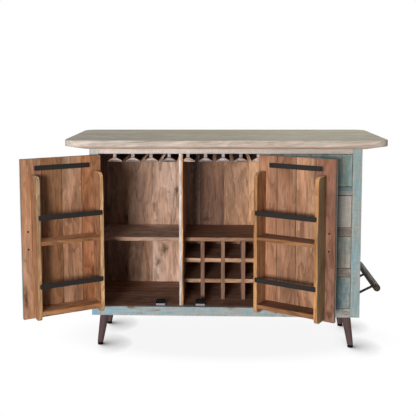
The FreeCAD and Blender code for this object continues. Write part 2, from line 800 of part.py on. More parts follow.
def make_drawers():
    """Inset fronts, boxes of four boards, knobs, and the runners that the boxes slide on."""
    runners = []
    depth = f"({inner_depth} - box_back_clearance)"
    height = f"({drawer_room} - runner_height - box_headroom)"
    for number in range(DRAWERS):
        word = f"drawer_{number + 1}"
        low = drawer_low(number)
        corner = (f"{drawer_left} + drawer_gap", front, f"{low} + drawer_gap")
        size = (f"{drawer_width} - 2 * drawer_gap", "frame_thickness", f"{drawer_room} - 2 * drawer_gap")
        node(f"{word}_front", [box("drawer_front", corner, size)])
        node(f"{word}_knob", [make_knob(low)])
        side_low = f"({low} + runner_height)"
        box_left, box_right = f"({drawer_left} + box_clearance)", f"({drawer_right} - box_clearance)"
        inside = f"({box_left} + box_side_thickness)"
        inner_width = f"({box_right} - box_side_thickness - {inside})"
        boards = []
        size = ("box_side_thickness", depth, height)
        for x in (box_left, f"{box_right} - box_side_thickness"):
            boards.append(box("drawer_side", (x, frame_back, side_low), size))
        boards.append(box("drawer_back", (inside, f"{frame_back} + {depth} - box_side_thickness", side_low),
                          (inner_width, "box_side_thickness", height)))
        boards.append(box("drawer_bottom", (inside, frame_back, f"{side_low} + box_bottom_lift"),
                          (inner_width, f"{depth} - box_side_thickness", "box_bottom_thickness")))
        node(f"{word}_box", boards)
        for x0, x1 in ((partition_right, inside), (f"{box_right} - box_side_thickness", inner_right)):
            size = (f"{x1} - ({x0})", inner_depth, "runner_height - slide_clearance")
            runners.append(box("runner", (x0, frame_back, low), size))
    node("drawer_runners", runners)


def check_and_write():
    """Stops at any failed object, then writes one file per sub-part."""
    for piece in doc.Objects:
        if "Invalid" in piece.State or "Error" in piece.State:
            raise RuntimeError(f"{piece.Label} failed: {piece.State}")
    for label, piece in nodes.items():
        if piece.Shape.isNull() or not piece.Shape.isValid() or not piece.Shape.Solids:
            raise RuntimeError(f"{label} has no valid solid")
    os.makedirs("parts", exist_ok=True)
    for label, piece in nodes.items():
        piece.Shape.exportStep(os.path.join("parts", label + ".step"))
    print(len(nodes), "sub-parts,", sum(len(piece.Shape.Solids) for piece in nodes.values()), "solids")


def main():
    make_bar_top()
    make_carcass()
    make_face_frame()
    make_shelves()
    make_wine_rack()
    make_glass_rails()
    make_legs()
    make_foot_rails()
    make_doors()
    make_drawers()
    doc.recompute()
    check_and_write()


main()
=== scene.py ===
import json
import math
import random
from collections import namedtuple
from itertools import cycle

import bmesh
import bpy
from bpy.props import FloatProperty, FloatVectorProperty, IntProperty, PointerProperty
from mathutils import Matrix, Vector, noise


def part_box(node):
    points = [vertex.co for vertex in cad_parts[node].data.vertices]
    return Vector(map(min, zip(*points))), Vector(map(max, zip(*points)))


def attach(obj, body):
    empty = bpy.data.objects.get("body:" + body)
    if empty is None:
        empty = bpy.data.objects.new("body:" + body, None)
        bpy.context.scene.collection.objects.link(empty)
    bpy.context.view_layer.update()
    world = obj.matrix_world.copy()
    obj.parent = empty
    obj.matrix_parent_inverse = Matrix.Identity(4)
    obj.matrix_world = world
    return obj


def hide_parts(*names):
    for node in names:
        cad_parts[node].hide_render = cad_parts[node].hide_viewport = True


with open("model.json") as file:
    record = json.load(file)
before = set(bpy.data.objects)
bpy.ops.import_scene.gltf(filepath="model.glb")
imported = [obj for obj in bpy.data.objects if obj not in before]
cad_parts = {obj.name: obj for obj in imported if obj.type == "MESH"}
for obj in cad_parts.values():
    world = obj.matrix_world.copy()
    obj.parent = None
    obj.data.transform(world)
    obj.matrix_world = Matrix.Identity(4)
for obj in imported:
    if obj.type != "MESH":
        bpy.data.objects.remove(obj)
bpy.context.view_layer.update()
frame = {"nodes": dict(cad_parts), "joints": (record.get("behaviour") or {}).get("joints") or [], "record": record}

bl_info = {
    "name": "Bar armoire",
    "version": (1, 0, 0),
    "blender": (4, 5, 0),
    "location": "3D View > Sidebar > Bar armoire",
    "description": "Dresses the packed bar armoire in old boards, worn paint and iron, and sets its stage",
    "category": "Object",
}

MM = 0.001
BODY_OF = {node: body for body, nodes in frame["record"]["behaviour"]["bodies"].items() for node in nodes}
JOINTS = {joint["child"]: joint for joint in frame["joints"]}
X, Y, Z = 0, 1, 2
DOORS = ("left", "right")
DRAWERS = (1, 2, 3, 4)
# a face this near to square, as a cosine, counts as square to its board
SQUARE = 0.9998
NICKS_PER_METRE = 23
# an edge is eased by at most this share of a board, and its middle lies this share of the radius in
MOST_EASE, MID_EASE = 0.3, 0.3
# a corner rounder than this, in metres, takes more steps
WIDE_ARC, WIDE_STEPS, ARC_STEPS = 0.01, 10, 3
# where boards are cut from a log, in metres: along it, aside of its heart, off its heart, and slant to it
LOG_LENGTH = 40
ASIDE, OFF_HEART, SLANT = 0.05, (0.03, 0.09), (0.03, 0.11)
TURNED_ASIDE, TURNED_OFF_HEART = 0.02, 0.06
LEG_STEPS, DOME_STEPS, RAIL_STEPS = 8, 6, 10


def linear(code):
    """An sRGB hex colour as linear red, green and blue."""
    shares = [int(code[place:place + 2], 16) / 255 for place in (1, 3, 5)]
    return tuple(s / 12.92 if s <= 0.04045 else ((s + 0.055) / 1.055) ** 2.4 for s in shares)


def colour(name, about, code):
    """A colour that a user may change."""
    return FloatVectorProperty(
        name=name, description=about, default=linear(code), size=3, min=0, max=1, subtype="COLOR")


def length(name, about, millimetres):
    """A length that a user may change."""
    return FloatProperty(
        name=name, description=about, default=millimetres * MM, min=0, precision=4,
        unit="LENGTH", subtype="DISTANCE")


def count(name, about, number):
    """A number of like pieces that a user may change."""
    return IntProperty(name=name, description=about, default=number, min=1)


def power(name, about, watts):
    """A lamp's power that a user may change."""
    return FloatProperty(name=name, description=about, default=watts, min=0, unit="POWER")


class ArmoireSizes(bpy.types.PropertyGroup):
    """Sizes of the boards, joints and eased edges."""

    ease: length("Eased edge", "Radius of the hand-eased edges of the boards", 1.8)
    nick: length("Edge nicks", "How deep old knocks bite into the edges of the boards", 1.4)
    fade: length("Worn margin", "Width of the worn margin along an edge", 8)
    door_joint: length("Door joint", "Open joint between neighbouring door planks", 0.8)
    tight_joint: length("Tight joint", "Joint between boards of the back, panels, floor and shelves", 0.04)
    tight_ease: length("Tight edge", "Radius of the edges of closely jointed boards", 0.6)
    stile: length("Stile", "Width of the face frame's stiles", 46)
    drawer_gap: length("Drawer gap", "Gap round each drawer front", 1.5)
    drawer_ease: length("Drawer edge", "Radius of the worn edges of the drawer fronts", 2.5)
    drawer_board: length("Drawer board", "Thickness of the sides and back of a drawer box", 12)
    drawer_bottom: length("Drawer bottom", "Thickness of a drawer's bottom", 6)
    drawer_lift: length("Drawer bottom lift", "How far the bottom sits above the lower edge of the sides", 8)
    runner: length("Runner", "Height of the strips that the drawers slide on", 11.7)
    rack_board: length("Rack board", "Thickness of the wine rack's boards", 20)
    side_board: length("Door side board", "Thickness of the boards down the sides of a door", 18)
    side_board_round: length("Side board corner", "Radius of the front corners of those boards", 28)
    upper_shelf: length("Upper door shelf", "Thickness of a door's upper shelf", 18)
    lower_shelf: length("Lower door shelf", "Thickness of a door's lower shelf", 20)
    guard: length("Guard bar", "Height of the iron bars across a door", 24)
    iron_round: length("Iron corner", "Radius of the corners of straps and bars", 5)
    iron_ease: length("Eased iron", "Radius of the filed edges of straps and bars", 0.8)
    corner_block: length("Corner block", "Side of the square blocks above the legs", 110)
    top_corner: length("Top corner", "Plan radius of the bar top's corners", 65)
    top_bevel_in: length("Top bevel width", "How far the bevel under the bar top runs in", 40)
    top_bevel_end: length("Top end bevel", "How far the bevel runs in at the two ends of the bar top", 95)
    top_bevel_up: length("Top bevel height", "How high the bevel under the bar top climbs", 15)
    rail_stem: length("Stemware rail stem", "Thickness of a stemware rail's stem", 18)
    rail_shoulder: length("Stemware rail shoulder", "Height of a stemware rail's flange at the stem", 22)
    rail_lip: length("Stemware rail lip", "Height of a stemware rail's flange at its edge", 7)
    rail_round: length("Stemware rail corner", "Radius of a stemware rail's long edges", 1.2)
    rail_slot: length("Stemware slot", "Slot between neighbouring flanges", 19)
    rail_first: length("First left rail", "From the divider to the first stemware rail of the left bay", 49)
    rail_left_pitch: length("Left rail pitch", "Spacing of the stemware rails in the left bay", 91)
    rail_wall: length("Right wall rail", "From a wall of the right bay to its nearest stemware rail", 25)
    rail_right_pitch: length("Right rail pitch", "Spacing of the stemware rails in the right bay", 87.5)
    leg_foot: length("Leg foot", "Radius of a leg at its foot", 15)
    leg_head: length("Leg head", "Radius of a leg at the carcass", 24)
    leg_ease: length("Leg edge", "Radius of the edge round a leg's foot", 2.5)
    door_planks: count("Door planks", "Planks in each door", 4)
    back_planks: count("Back planks", "Planks in the back", 10)
    panel_boards: count("Panel boards", "Boards joined up in a side panel, the floor and the top board", 4)
    shelf_boards: count("Shelf boards", "Boards joined up in an interior shelf", 3)
    rack_uprights: count("Rack uprights", "Uprights of the wine rack", 3)
    left_rails: count("Left rails", "Stemware rails in the left bay", 4)
    right_rails: count("Right rails", "Stemware rails in the right bay", 5)


class ArmoireColours(bpy.types.PropertyGroup):
    """Colours of the boards, coats of paint and metals."""

    top: colour("Top", "Weathered face of the bar top", "#A39C8D")
    top_far: colour("Top, drawer end", "Weathered face of the bar top towards the drawers", "#9A9277")
    top_grey: colour("Top grey", "Silver patina on the bar top", "#8F8E86")
    top_check: colour("Top check", "Dirt in the cracks of the bar top", "#6B6255")
    top_edge: colour("Top edge", "Limed edge of the bar top", "#D8C6BA")
    top_edge_far: colour("Top edge, drawer end", "Limed edge of the bar top towards the drawers", "#C5B3A5")
    # painted light: the bevel under the top faces down into shade, so its brown wood is given a far paler colour
    top_bevel: colour("Top bevel", "Browner bevel under the bar top", "#F3CEB4")
    teal: colour("Teal", "Faded teal paint", "#92A7A6")
    deep_teal: colour("Deep teal", "Teal paint where it has kept its colour", "#7C918B")
    blue_teal: colour("Blue teal", "Bluer coat on the bottom rail", "#84B2C3")
    stone: colour("Stone", "Greige ground coat under the teal", "#B7ACA1")
    taupe: colour("Taupe", "Browner coat on two drawer rails", "#867970")
    moss: colour("Moss", "Greenish grey coat", "#868B7F")
    cream: colour("Cream", "Whitish coat on the top rail", "#D3C8C2")
    # darkened, this also paints the shade along the drawer gaps
    under_paint: colour("Wood under paint", "Bare wood where the paint is rubbed through", "#84654F")
    tan: colour("Tan plank", "Light plank of a door", "#B08364")
    fawn: colour("Fawn plank", "Middling plank of a door", "#A47659")
    amber: colour("Amber board", "Orange brown plank and side boards", "#996B49")
    russet: colour("Russet plank", "Reddish brown plank", "#A06B48")
    mauve: colour("Mauve plank", "Cooler brown plank", "#8C5F4A")
    olive: colour("Olive board", "Greenish brown side board", "#7A6040")
    blush: colour("Blush plank", "Pale pinkish plank of the back", "#B99680")
    walnut: colour("Walnut plank", "Browner plank of the back", "#9B755D")
    cocoa: colour("Cocoa plank", "Darker plank of the back", "#79543E")
    gold: colour("Gold plank", "Golden plank of the back", "#CC9C74")
    umber: colour("Umber board", "Dark brown interior board", "#7A5848")
    soot: colour("Soot board", "Floor and rack boards", "#95705E")
    honey: colour("Honey edge", "Golden edges of the side boards", "#BE9064")
    apricot: colour("Apricot edge", "Warmer edges of the right door's side boards", "#CC945F")
    straw: colour("Straw edge", "Palest golden edge of a side board", "#D0A678")
    lichen: colour("Lichen edge", "Grey green upper edge of one side board", "#847C66")
    copper: colour("Copper edge", "Orange brown edges of the door shelves", "#9B6840")
    biscuit: colour("Biscuit edge", "Sawn edges of the interior shelves", "#A5836E")
    chestnut: colour("Chestnut edge", "Browner sawn edges in the right bay", "#99725A")
    ash: colour("Ash end", "Pale greyish ends of the stemware rails", "#A8948D")
    # the knot colour also paints the streak of shade beside the divider
    knot: colour("Knot", "Heart of a knot", "#3A2418")
    leg: colour("Leg", "Dark stain on the legs", "#5E4A49")
    rail: colour("Foot rail", "Olive brown stain on the foot rails", "#4B3F33")
    iron: colour("Iron", "Blackened iron", "#231F1D")
    steel: colour("Steel", "Phosphated steel", "#7F7B80")
    plastic: colour("Plastic", "Black moulded plastic", "#0D0C0D")


class ArmoireStage(bpy.types.PropertyGroup):
    """Light and floor."""

    key: power("Key light", "Large softbox far off in front on the left, above counter height", 870)
    over: power("Overhead light", "Softbox above the bar top", 58)
    side: power("Side light", "Small softbox low on the left", 12)
    back: power("Back light", "Softbox on the guests' side", 70)
    room: FloatProperty(
        name="Room light", description="Strength of the light from all round", default=0.05, min=0)
    floor: colour("Floor", "Studio floor as it throws light back", "#B5B5B5")


# Shaping


class Corner:
    """One point of an outline and how it moves when the outline is drawn in."""

    def __init__(self, spot, inward, stop=1e9, beyond=None):
        self.spot, self.inward, self.stop, self.beyond = spot, inward, stop, beyond or Vector((0, 0))

    def drawn_in(self, reach):
        return self.spot + self.inward * min(reach, self.stop) + self.beyond * max(0, reach - self.stop)


def outline(corners, radii, run=0.06):
    """A closed outline, counter-clockwise, with rounded corners and straight runs cut into short lengths."""
    arcs = []
    for number, corner in enumerate(corners):
        back = (corners[number - 1] - corner).normalized()
        ahead = (corners[(number + 1) % len(corners)] - corner).normalized()
        half = back.angle(ahead) / 2
        radius = radii[number]
        bisector = (back + ahead).normalized()
        centre = corner + bisector * radius / math.sin(half)
        first = corner + back * radius / math.tan(half) - centre
        last = corner + ahead * radius / math.tan(half) - centre
        sweep = first.angle(last)
        steps = WIDE_STEPS if radius > WIDE_ARC else ARC_STEPS
        arc = []
        for step in range(steps + 1):
            share = step / steps
            spoke = (first * math.sin((1 - share) * sweep) + last * math.sin(share * sweep)) / math.sin(sweep)
            arc.append(Corner(centre + spoke, -spoke / radius, radius, bisector / math.sin(half)))
        arcs.append(arc)
    points = []
    for number, arc in enumerate(arcs):
        points += arc
        start, end = arc[-1].spot, arcs[(number + 1) % len(arcs)][0].spot
        cuts = max(1, math.ceil((end - start).length / run))
        heading = (end - start).normalized()
        for cut in range(1, cuts):
            points.append(Corner(start.lerp(end, cut / cuts), Vector((-heading.y, heading.x))))
    return points


def rectangle(low, high):
    """Corners of a rectangle, counter-clockwise."""
    return [Vector(low), Vector((high[0], low[1])), Vector(high), Vector((low[0], high[1]))]


def with_axis(vector, axis, number):
    """A copy of the vector with one coordinate changed."""
    changed = vector.copy()
    changed[axis] = number
    return changed


def span(low, high, axis, start, end):
    """The corners of a box that ends elsewhere along one axis."""
    return with_axis(low, axis, start), with_axis(high, axis, end)


def row(low, high, axis, number, gap):
    """Boxes of neighbouring boards that fill a box along one axis, with an open joint between them."""
    step = (high[axis] - low[axis]) / number
    for place in range(number):
        start = low[axis] + place * step + (gap / 2 if place else 0)
        end = low[axis] + (place + 1) * step - (gap / 2 if place < number - 1 else 0)
        yield span(low, high, axis, start, end)


def blended(first, second, share):
    """A tone part of the way from one to another."""
    return tuple(a + (b - a) * share for a, b in zip(first, second))


def darker(tone, share):
    """A tone with this share of its light."""
    return tuple(part * share for part in tone)


def settings(context):
    """The sizes and colours that the panel shows."""
    return context.scene.armoire_sizes, context.scene.armoire_colours


# one ring of a board's skin: how far in and how high it lies, how near an edge, and its tone and wear
Ring = namedtuple("Ring", "inset height arris tone rub")


class Stock:
    """Boards, bars and turnings that together become one piece."""

    def __init__(self, sizes, seed, turn=None):
        self.sizes = sizes
        self.random = random.Random(seed)
        self.turn = turn or Matrix.Identity(4)
        self.points, self.faces, self.finish = [], [], []
        self.grain, self.tone, self.arris, self.rub = [], [], [], []

    def varied(self, tone, spread=0.1):
        """A tone a little lighter or darker, and a little warmer or cooler."""
        light = 1 + self.random.uniform(-spread, spread)
        warm = self.random.uniform(-spread, spread) / 3
        return tuple(min(1, share * light * (1 + warm * turn)) for share, turn in zip(tone, (1, 0, -1)))

    def point(self, spot, grain, tone, arris, rub):
        self.points.append(self.turn @ spot)
        self.grain.append(grain)
        self.tone.append((*tone, 1))
        self.arris.append(arris)
        self.rub.append(rub)
        return len(self.points) - 1

    def skin(self, rings, finish_of):
        """Walls between neighbouring rings, and a cap on the first and the last."""
        walls = [rings[0], rings[-1]]
        for low, high in zip(rings, rings[1:]):
            for number in range(len(low)):
                ahead = (number + 1) % len(low)
                walls.append([low[number], low[ahead], high[ahead], high[number]])
        for wall in walls:
            face = list(dict.fromkeys(wall))
            if len(face) > 2:
                self.faces.append(face)
                self.finish.append(finish_of(face))

    def slab(self, shape, axes, start, profile, grain, coat=(), nick=None):
        """A piece with one outline, built up through the rings of its profile. The axes are those of the
        outline's two directions and of its height. The coat names the painted sides. A ring's tone is one
        colour, or a pair that fades from one end of the grain to the other."""
        nick = self.sizes.nick if nick is None else nick
        spots = [[entry.drawn_in(ring.inset) for entry in shape] for ring in profile]
        flat = [entry.spot for entry in shape]
        low, high = Vector((0, 0, 0)), Vector((0, 0, 0))
        for place in (0, 1):
            low[axes[place]] = min(spot[place] for spot in flat)
            high[axes[place]] = max(spot[place] for spot in flat)
        low[axes[2]], high[axes[2]] = start, start + profile[-1].height
        middle, half = (low + high) / 2, (high - low) / 2
        order = [grain] + sorted((axis for axis in (X, Y, Z) if axis != grain), key=lambda axis: -half[axis])
        chance = self.random.uniform
        shift = Vector((chance(0, LOG_LENGTH), chance(-ASIDE, ASIDE), chance(*OFF_HEART)))
        # sawn at a slant to the heart of the log, a board shows arched figure
        slant = self.random.choice((-1, 1)) * chance(*SLANT)
        rings = []
        for ring, line in zip(profile, spots):
            loop, known = [], {}
            for entry, spot in zip(shape, line):
                key = (round(spot.x, 7), round(spot.y, 7))
                if key not in known:
                    place = Vector((spot.x, spot.y, start + ring.height))
                    bite = noise.noise(place * NICKS_PER_METRE + shift) * nick * ring.arris
                    spot = entry.drawn_in(ring.inset + max(0, bite))
                    at = Vector((0, 0, 0))
                    at[axes[0]], at[axes[1]], at[axes[2]] = spot.x, spot.y, start + ring.height
                    along = Vector((at - middle)[axis] for axis in order)
                    along = along + shift + Vector((0, 0, slant * along.x))
                    share = (at[grain] - low[grain]) / (high[grain] - low[grain])
                    tone = blended(*ring.tone, share) if len(ring.tone) == 2 else ring.tone
                    known[key] = self.point(at, along, tone, ring.arris, ring.rub)
                loop.append(known[key])
            rings.append(loop)
        back = self.turn.inverted()

        def finish_of(face):
            spread = sum((back @ self.points[number] for number in face), Vector()) / len(face) - middle
            side = max((X, Y, Z), key=lambda axis: abs(spread[axis]) / half[axis])
            return int((side, spread[side] > 0) in coat)

        self.skin(rings, finish_of)

    def eased_rings(self, thickness, width, ease, tone, edge=None, rub=0):
        """Rings that ease both edges of a board and mark how near each point is to an edge."""
        edge = tone if edge is None else edge
        ease = min(ease, thickness * MOST_EASE, width * MOST_EASE)
        margin = min(self.sizes.fade, width / 2 - ease - MM / 10)
        half = [Ring(ease + margin, 0, 0, tone, rub), Ring(ease, 0, 0.8, tone, rub),
                Ring(ease * MID_EASE, ease * MID_EASE, 1, edge, rub), Ring(0, ease, 0.8, edge, rub)]
        if thickness > 2.2 * (ease + margin):
            half.append(Ring(0, ease + margin, 0, edge, rub))
        return half + [ring._replace(height=thickness - ring.height) for ring in reversed(half)]

    def board(self, low, high, grain, tone, edge=None, rub=0, faced=None, ease=None, corners=None, nick=None):
        """A straight board between two corners of its box, its grain along one axis. A faced board has a coat
        of another tone and wear on its low or its high face."""
        ease = self.sizes.ease if ease is None else ease
        size = high - low
        thin = min((axis for axis in (X, Y, Z) if axis != grain), key=lambda axis: size[axis])
        wide = next(axis for axis in (X, Y, Z) if axis not in (grain, thin))
        shape = outline(rectangle((low[grain], low[wide]), (high[grain], high[wide])),
                        corners or [min(ease, size[wide] * MOST_EASE)] * 4)
        rings = self.eased_rings(size[thin], min(size[wide], size[grain]), ease, tone, edge, rub)
        coat = ()
        if faced:
            side, coat_tone, wear = faced
            middle = len(rings) // 2
            coated = slice(middle, None) if side else slice(0, middle)
            rings[coated] = [ring._replace(tone=coat_tone, rub=wear) for ring in rings[coated]]
            coat = {(thin, side)}
        self.slab(shape, (grain, wide, thin), low[thin], rings, grain, coat, nick)

    def turning(self, stations, axis, tone, sides=28):
        """A turned piece through (centre, radius) stations along an axis."""
        axis = axis.normalized()
        first = axis.orthogonal().normalized()
        second = axis.cross(first)
        chance = self.random.uniform
        shift = Vector((chance(0, LOG_LENGTH), chance(-TURNED_ASIDE, TURNED_ASIDE), TURNED_OFF_HEART))
        origin = stations[0][0]
        rings = []
        for centre, radius in stations:
            ring = []
            for side in range(sides):
                angle = 2 * math.pi * side / sides
                out = (first * math.cos(angle) + second * math.sin(angle)) * radius
                along = Vector(((centre - origin).length, out.dot(first), out.dot(second))) + shift
                ring.append(self.point(centre + out, along, tone, 0, 0))
            rings.append(ring)
        self.skin(rings, lambda face: 0)

    def piece(self, name, kinds, slot, *nodes):
        """One object of everything in the stock. It stands for the nodes and moves with their body."""
        mesh = bpy.data.meshes.new(name)
        mesh.from_pydata(self.points, [], self.faces)
        for label, kind, values, field in (
                ("grain", "FLOAT_VECTOR", self.grain, "vector"), ("tone", "FLOAT_COLOR", self.tone, "color"),
                ("arris", "FLOAT", self.arris, "value"), ("rub", "FLOAT", self.rub, "value")):
            layer = mesh.attributes.new(label, kind, "POINT")
            flat = values if field == "value" else [part for entry in values for part in entry]
            layer.data.foreach_set(field, flat)
        for kind in kinds.split():
            mesh.materials.append(finish_for(kind))
        mesh.polygons.foreach_set("material_index", self.finish)
        shaper = bmesh.new()
        shaper.from_mesh(mesh)
        bmesh.ops.recalc_face_normals(shaper, faces=shaper.faces)
        back = self.turn.to_3x3().inverted()
        for face in shaper.faces:
            # square faces stay flat right up to the eased edge
            face.smooth = max(abs(part) for part in back @ face.normal) < SQUARE
        shaper.to_mesh(mesh)
        shaper.free()
        made = bpy.data.objects.new(name, mesh)
        bpy.context.scene.collection.objects.link(made)
        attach(made, BODY_OF[nodes[0]])
        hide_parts(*nodes)


# Finishes


# options that several nodes share
SMOOTH = {"interpolation_type": "SMOOTHSTEP"}
RGBA = {"data_type": "RGBA"}


def add(tree, kind, inputs=(), out=0, **options):
    """Adds one shader node with its options, socket values and links, and returns one of its outputs."""
    node = tree.nodes.new("ShaderNode" + kind)
    for name, choice in options.items():
        setattr(node, name, choice)
    for key, value in dict(inputs).items():
        if isinstance(value, bpy.types.NodeSocket):
            tree.links.new(value, node.inputs[key])
        else:
            node.inputs[key].default_value = value
    return node.outputs[out]


def finish(name, **sockets):
    """A new material with the shader's constant sockets set. Returns the material and its shader."""
    material = bpy.data.materials.new(name)
    material.use_nodes = True
    shader = material.node_tree.nodes["Principled BSDF"]
    for key, value in sockets.items():
        shader.inputs[key.replace("_", " ").title().replace("Ior", "IOR")].default_value = value
    return material, shader


def marks(tree, field, along, across, detail=3, out="Fac", rough=0.55):
    """Soft noise for marks of this length along the grain and width across it, in millimetres."""
    scale = (1 / (along * MM), 1 / (across * MM), 1 / (across * MM))
    place = add(tree, "VectorMath", {0: field, 1: scale}, operation="MULTIPLY")
    return add(tree, "TexNoise", {"Vector": place, "Scale": 1, "Detail": detail, "Roughness": rough}, out)


# what a board shows at each point: its own tone, the shade of its figure, its fibre and the grain's field
Figure = namedtuple("Figure", "tone shade fibre field")


def figure(tree, ring_width, rings, streaks, clouds):
    """Growth rings that wander along a sawn board, fibre streaks and clouds of denser wood. The shares say
    how strongly each shows. The shade is about 1."""
    tone = add(tree, "Attribute", out="Color", attribute_name="tone")
    field = add(tree, "Attribute", out="Vector", attribute_name="grain")
    bent = field
    for along, across, sway in ((480, 110, 0.08), (120, 40, 0.05)):
        wander = marks(tree, field, along, across, 2, "Color")
        bent = add(tree, "VectorMath", {0: wander, 1: (0, sway, sway), 2: bent}, operation="MULTIPLY_ADD")
    across = add(tree, "VectorMath", {0: bent, 1: (0, 1, 1)}, operation="MULTIPLY")
    heart = add(tree, "VectorMath", {0: across}, "Value", operation="LENGTH")
    turns = add(tree, "Math", {0: heart, 1: 1 / (ring_width * MM)}, operation="MULTIPLY")
    ring = add(tree, "Math", {0: turns}, operation="FRACT")
    late = add(tree, "MapRange", {"Value": ring, 1: 0.2, 2: 0.95}, **SMOOTH)
    # fibres are hair fine in the real board; 7 mm streaks are the finest that show at this size
    fibre = marks(tree, field, 110, 7)
    cloud = marks(tree, field, 170, 46, 4, rough=0.62)
    stain = marks(tree, field, 520, 110, 2)
    shade = add(tree, "Math", {0: late, 1: -rings, 2: 1 + rings * 0.45}, operation="MULTIPLY_ADD")
    for mark, depth in ((fibre, streaks), (cloud, clouds), (stain, clouds)):
        swing = add(tree, "Math", {0: mark, 1: 2 * depth, 2: -depth}, operation="MULTIPLY_ADD")
        shade = add(tree, "Math", {0: shade, 1: swing}, operation="ADD")
    shade = add(tree, "Math", {0: shade, 1: 0.12}, operation="MAXIMUM")
    return Figure(tone, shade, fibre, field)


def shaded(tree, tone, shade, warmth=None):
    """The tone under a shade whose darks turn warmer, as dense wood does. Warmth reddens it in places."""
    green = add(tree, "Math", {0: shade, 1: 1.15}, operation="POWER")
    blue = add(tree, "Math", {0: shade, 1: 1.3}, operation="POWER")
    if warmth:
        tilt = add(tree, "MapRange", {"Value": warmth, 1: 0.3, 2: 0.7, 3: 1.07, 4: 0.9})
        green = add(tree, "Math", {0: green, 1: tilt}, operation="MULTIPLY")
        for _ in range(2):
            blue = add(tree, "Math", {0: blue, 1: tilt}, operation="MULTIPLY")
    tint = add(tree, "CombineColor", {0: shade, 1: green, 2: blue})
    return add(tree, "Mix", {0: 1, 6: tone, 7: tint}, 2, **RGBA, blend_type="MULTIPLY")


def dressed(material, shader, skin, relief, strength, depth, dull=None):
    """Links a material's colour, its relief, as deep as given in millimetres, and any change in dullness."""
    tree = material.node_tree
    bump = add(tree, "Bump", {"Height": relief, "Strength": strength, "Distance": depth * MM})
    for socket, value in (("Base Color", skin), ("Normal", bump), ("Roughness", dull)):
        if value is not None:
            tree.links.new(value, shader.inputs[socket])
    return material


# knots that show in the picture and a tall streak of painted shade by the divider: place at rest, width and height
# in metres
KNOTS_AND_SHADE_STREAK = (
    ((-0.265, 0.219, 0.737), 0.014, 0.026), ((-0.331, 0.219, 0.409), 0.018, 0.034),
    ((-0.371, 0.219, 0.335), 0.02, 0.03), ((0.122, 0.219, 0.79), 0.008, 0.03),
    # the second entry below is painted shade: a tall dark streak on the back beside the divider
    ((-0.101, 0.219, 0.581), 0.03, 0.012), ((-0.15, 0.219, 0.8), 0.034, 0.3),
    ((-0.943, -0.458, 0.323), 0.009, 0.06), ((0.487, -0.452, 0.266), 0.013, 0.02),
)


def knot_and_shade_marks(tree):
    """Dark, ragged hearts of the knots, soft at the rim, and a streak of painted shade by the divider."""
    place = add(tree, "TexCoord", out="Object")
    ragged = add(tree, "TexNoise", {"Vector": place, "Scale": 1 / (22 * MM), "Detail": 3}, "Color")
    place = add(tree, "VectorMath", {0: ragged, 1: (0.04, 0.02, 0.04), 2: place}, operation="MULTIPLY_ADD")
    place = add(tree, "VectorMath", {0: place, 1: (0.02, 0.01, 0.02)}, operation="SUBTRACT")
    whole = None
    for spot, wide, tall in KNOTS_AND_SHADE_STREAK:
        off = add(tree, "VectorMath", {0: place, 1: spot}, operation="SUBTRACT")
        off = add(tree, "VectorMath", {0: off, 1: (1 / wide, 1 / wide, 1 / tall)}, operation="MULTIPLY")
        reach = add(tree, "VectorMath", {0: off}, "Value", operation="LENGTH")
        heart = add(tree, "MapRange", {"Value": reach, 1: 0.1, 2: 1.5, 3: 0.8, 4: 0}, **SMOOTH)
        whole = heart if whole is None else add(tree, "Math", {0: whole, 1: heart}, operation="MAXIMUM")
    return whole


def reclaimed_teak(colours):
    """Reclaimed teak, planed and waxed: low sheen, cloudy figure, dark knots and veins, one painted shade streak.
    """
    material, shader = finish("reclaimed_teak_planed_and_waxed", ior=1.48, specular_ior_level=0.35)
    tree = material.node_tree
    tone, shade, fibre, field = figure(tree, 21, 0.34, 0.5, 0.74)
    wood = shaded(tree, tone, shade, marks(tree, field, 420, 80, 2))
    veins = marks(tree, field, 300, 10, 2)
    veins = add(tree, "MapRange", {"Value": veins, 1: 0.62, 2: 0.78, 4: 0.6}, **SMOOTH)
    # the knot marks include the painted shade streak, which takes the knot colour too
    dark = add(tree, "Math", {0: knot_and_shade_marks(tree), 1: veins}, operation="MAXIMUM")
    wood = add(tree, "Mix", {0: dark, 6: wood, 7: (*colours.knot, 1)}, 2, **RGBA)
    dull = add(tree, "MapRange", {"Value": fibre, 3: 0.5, 4: 0.72})
    relief = add(tree, "Math", {0: dark, 1: -0.6, 2: fibre}, operation="MULTIPLY_ADD")
    return dressed(material, shader, wood, relief, 0.5, 0.6, dull)


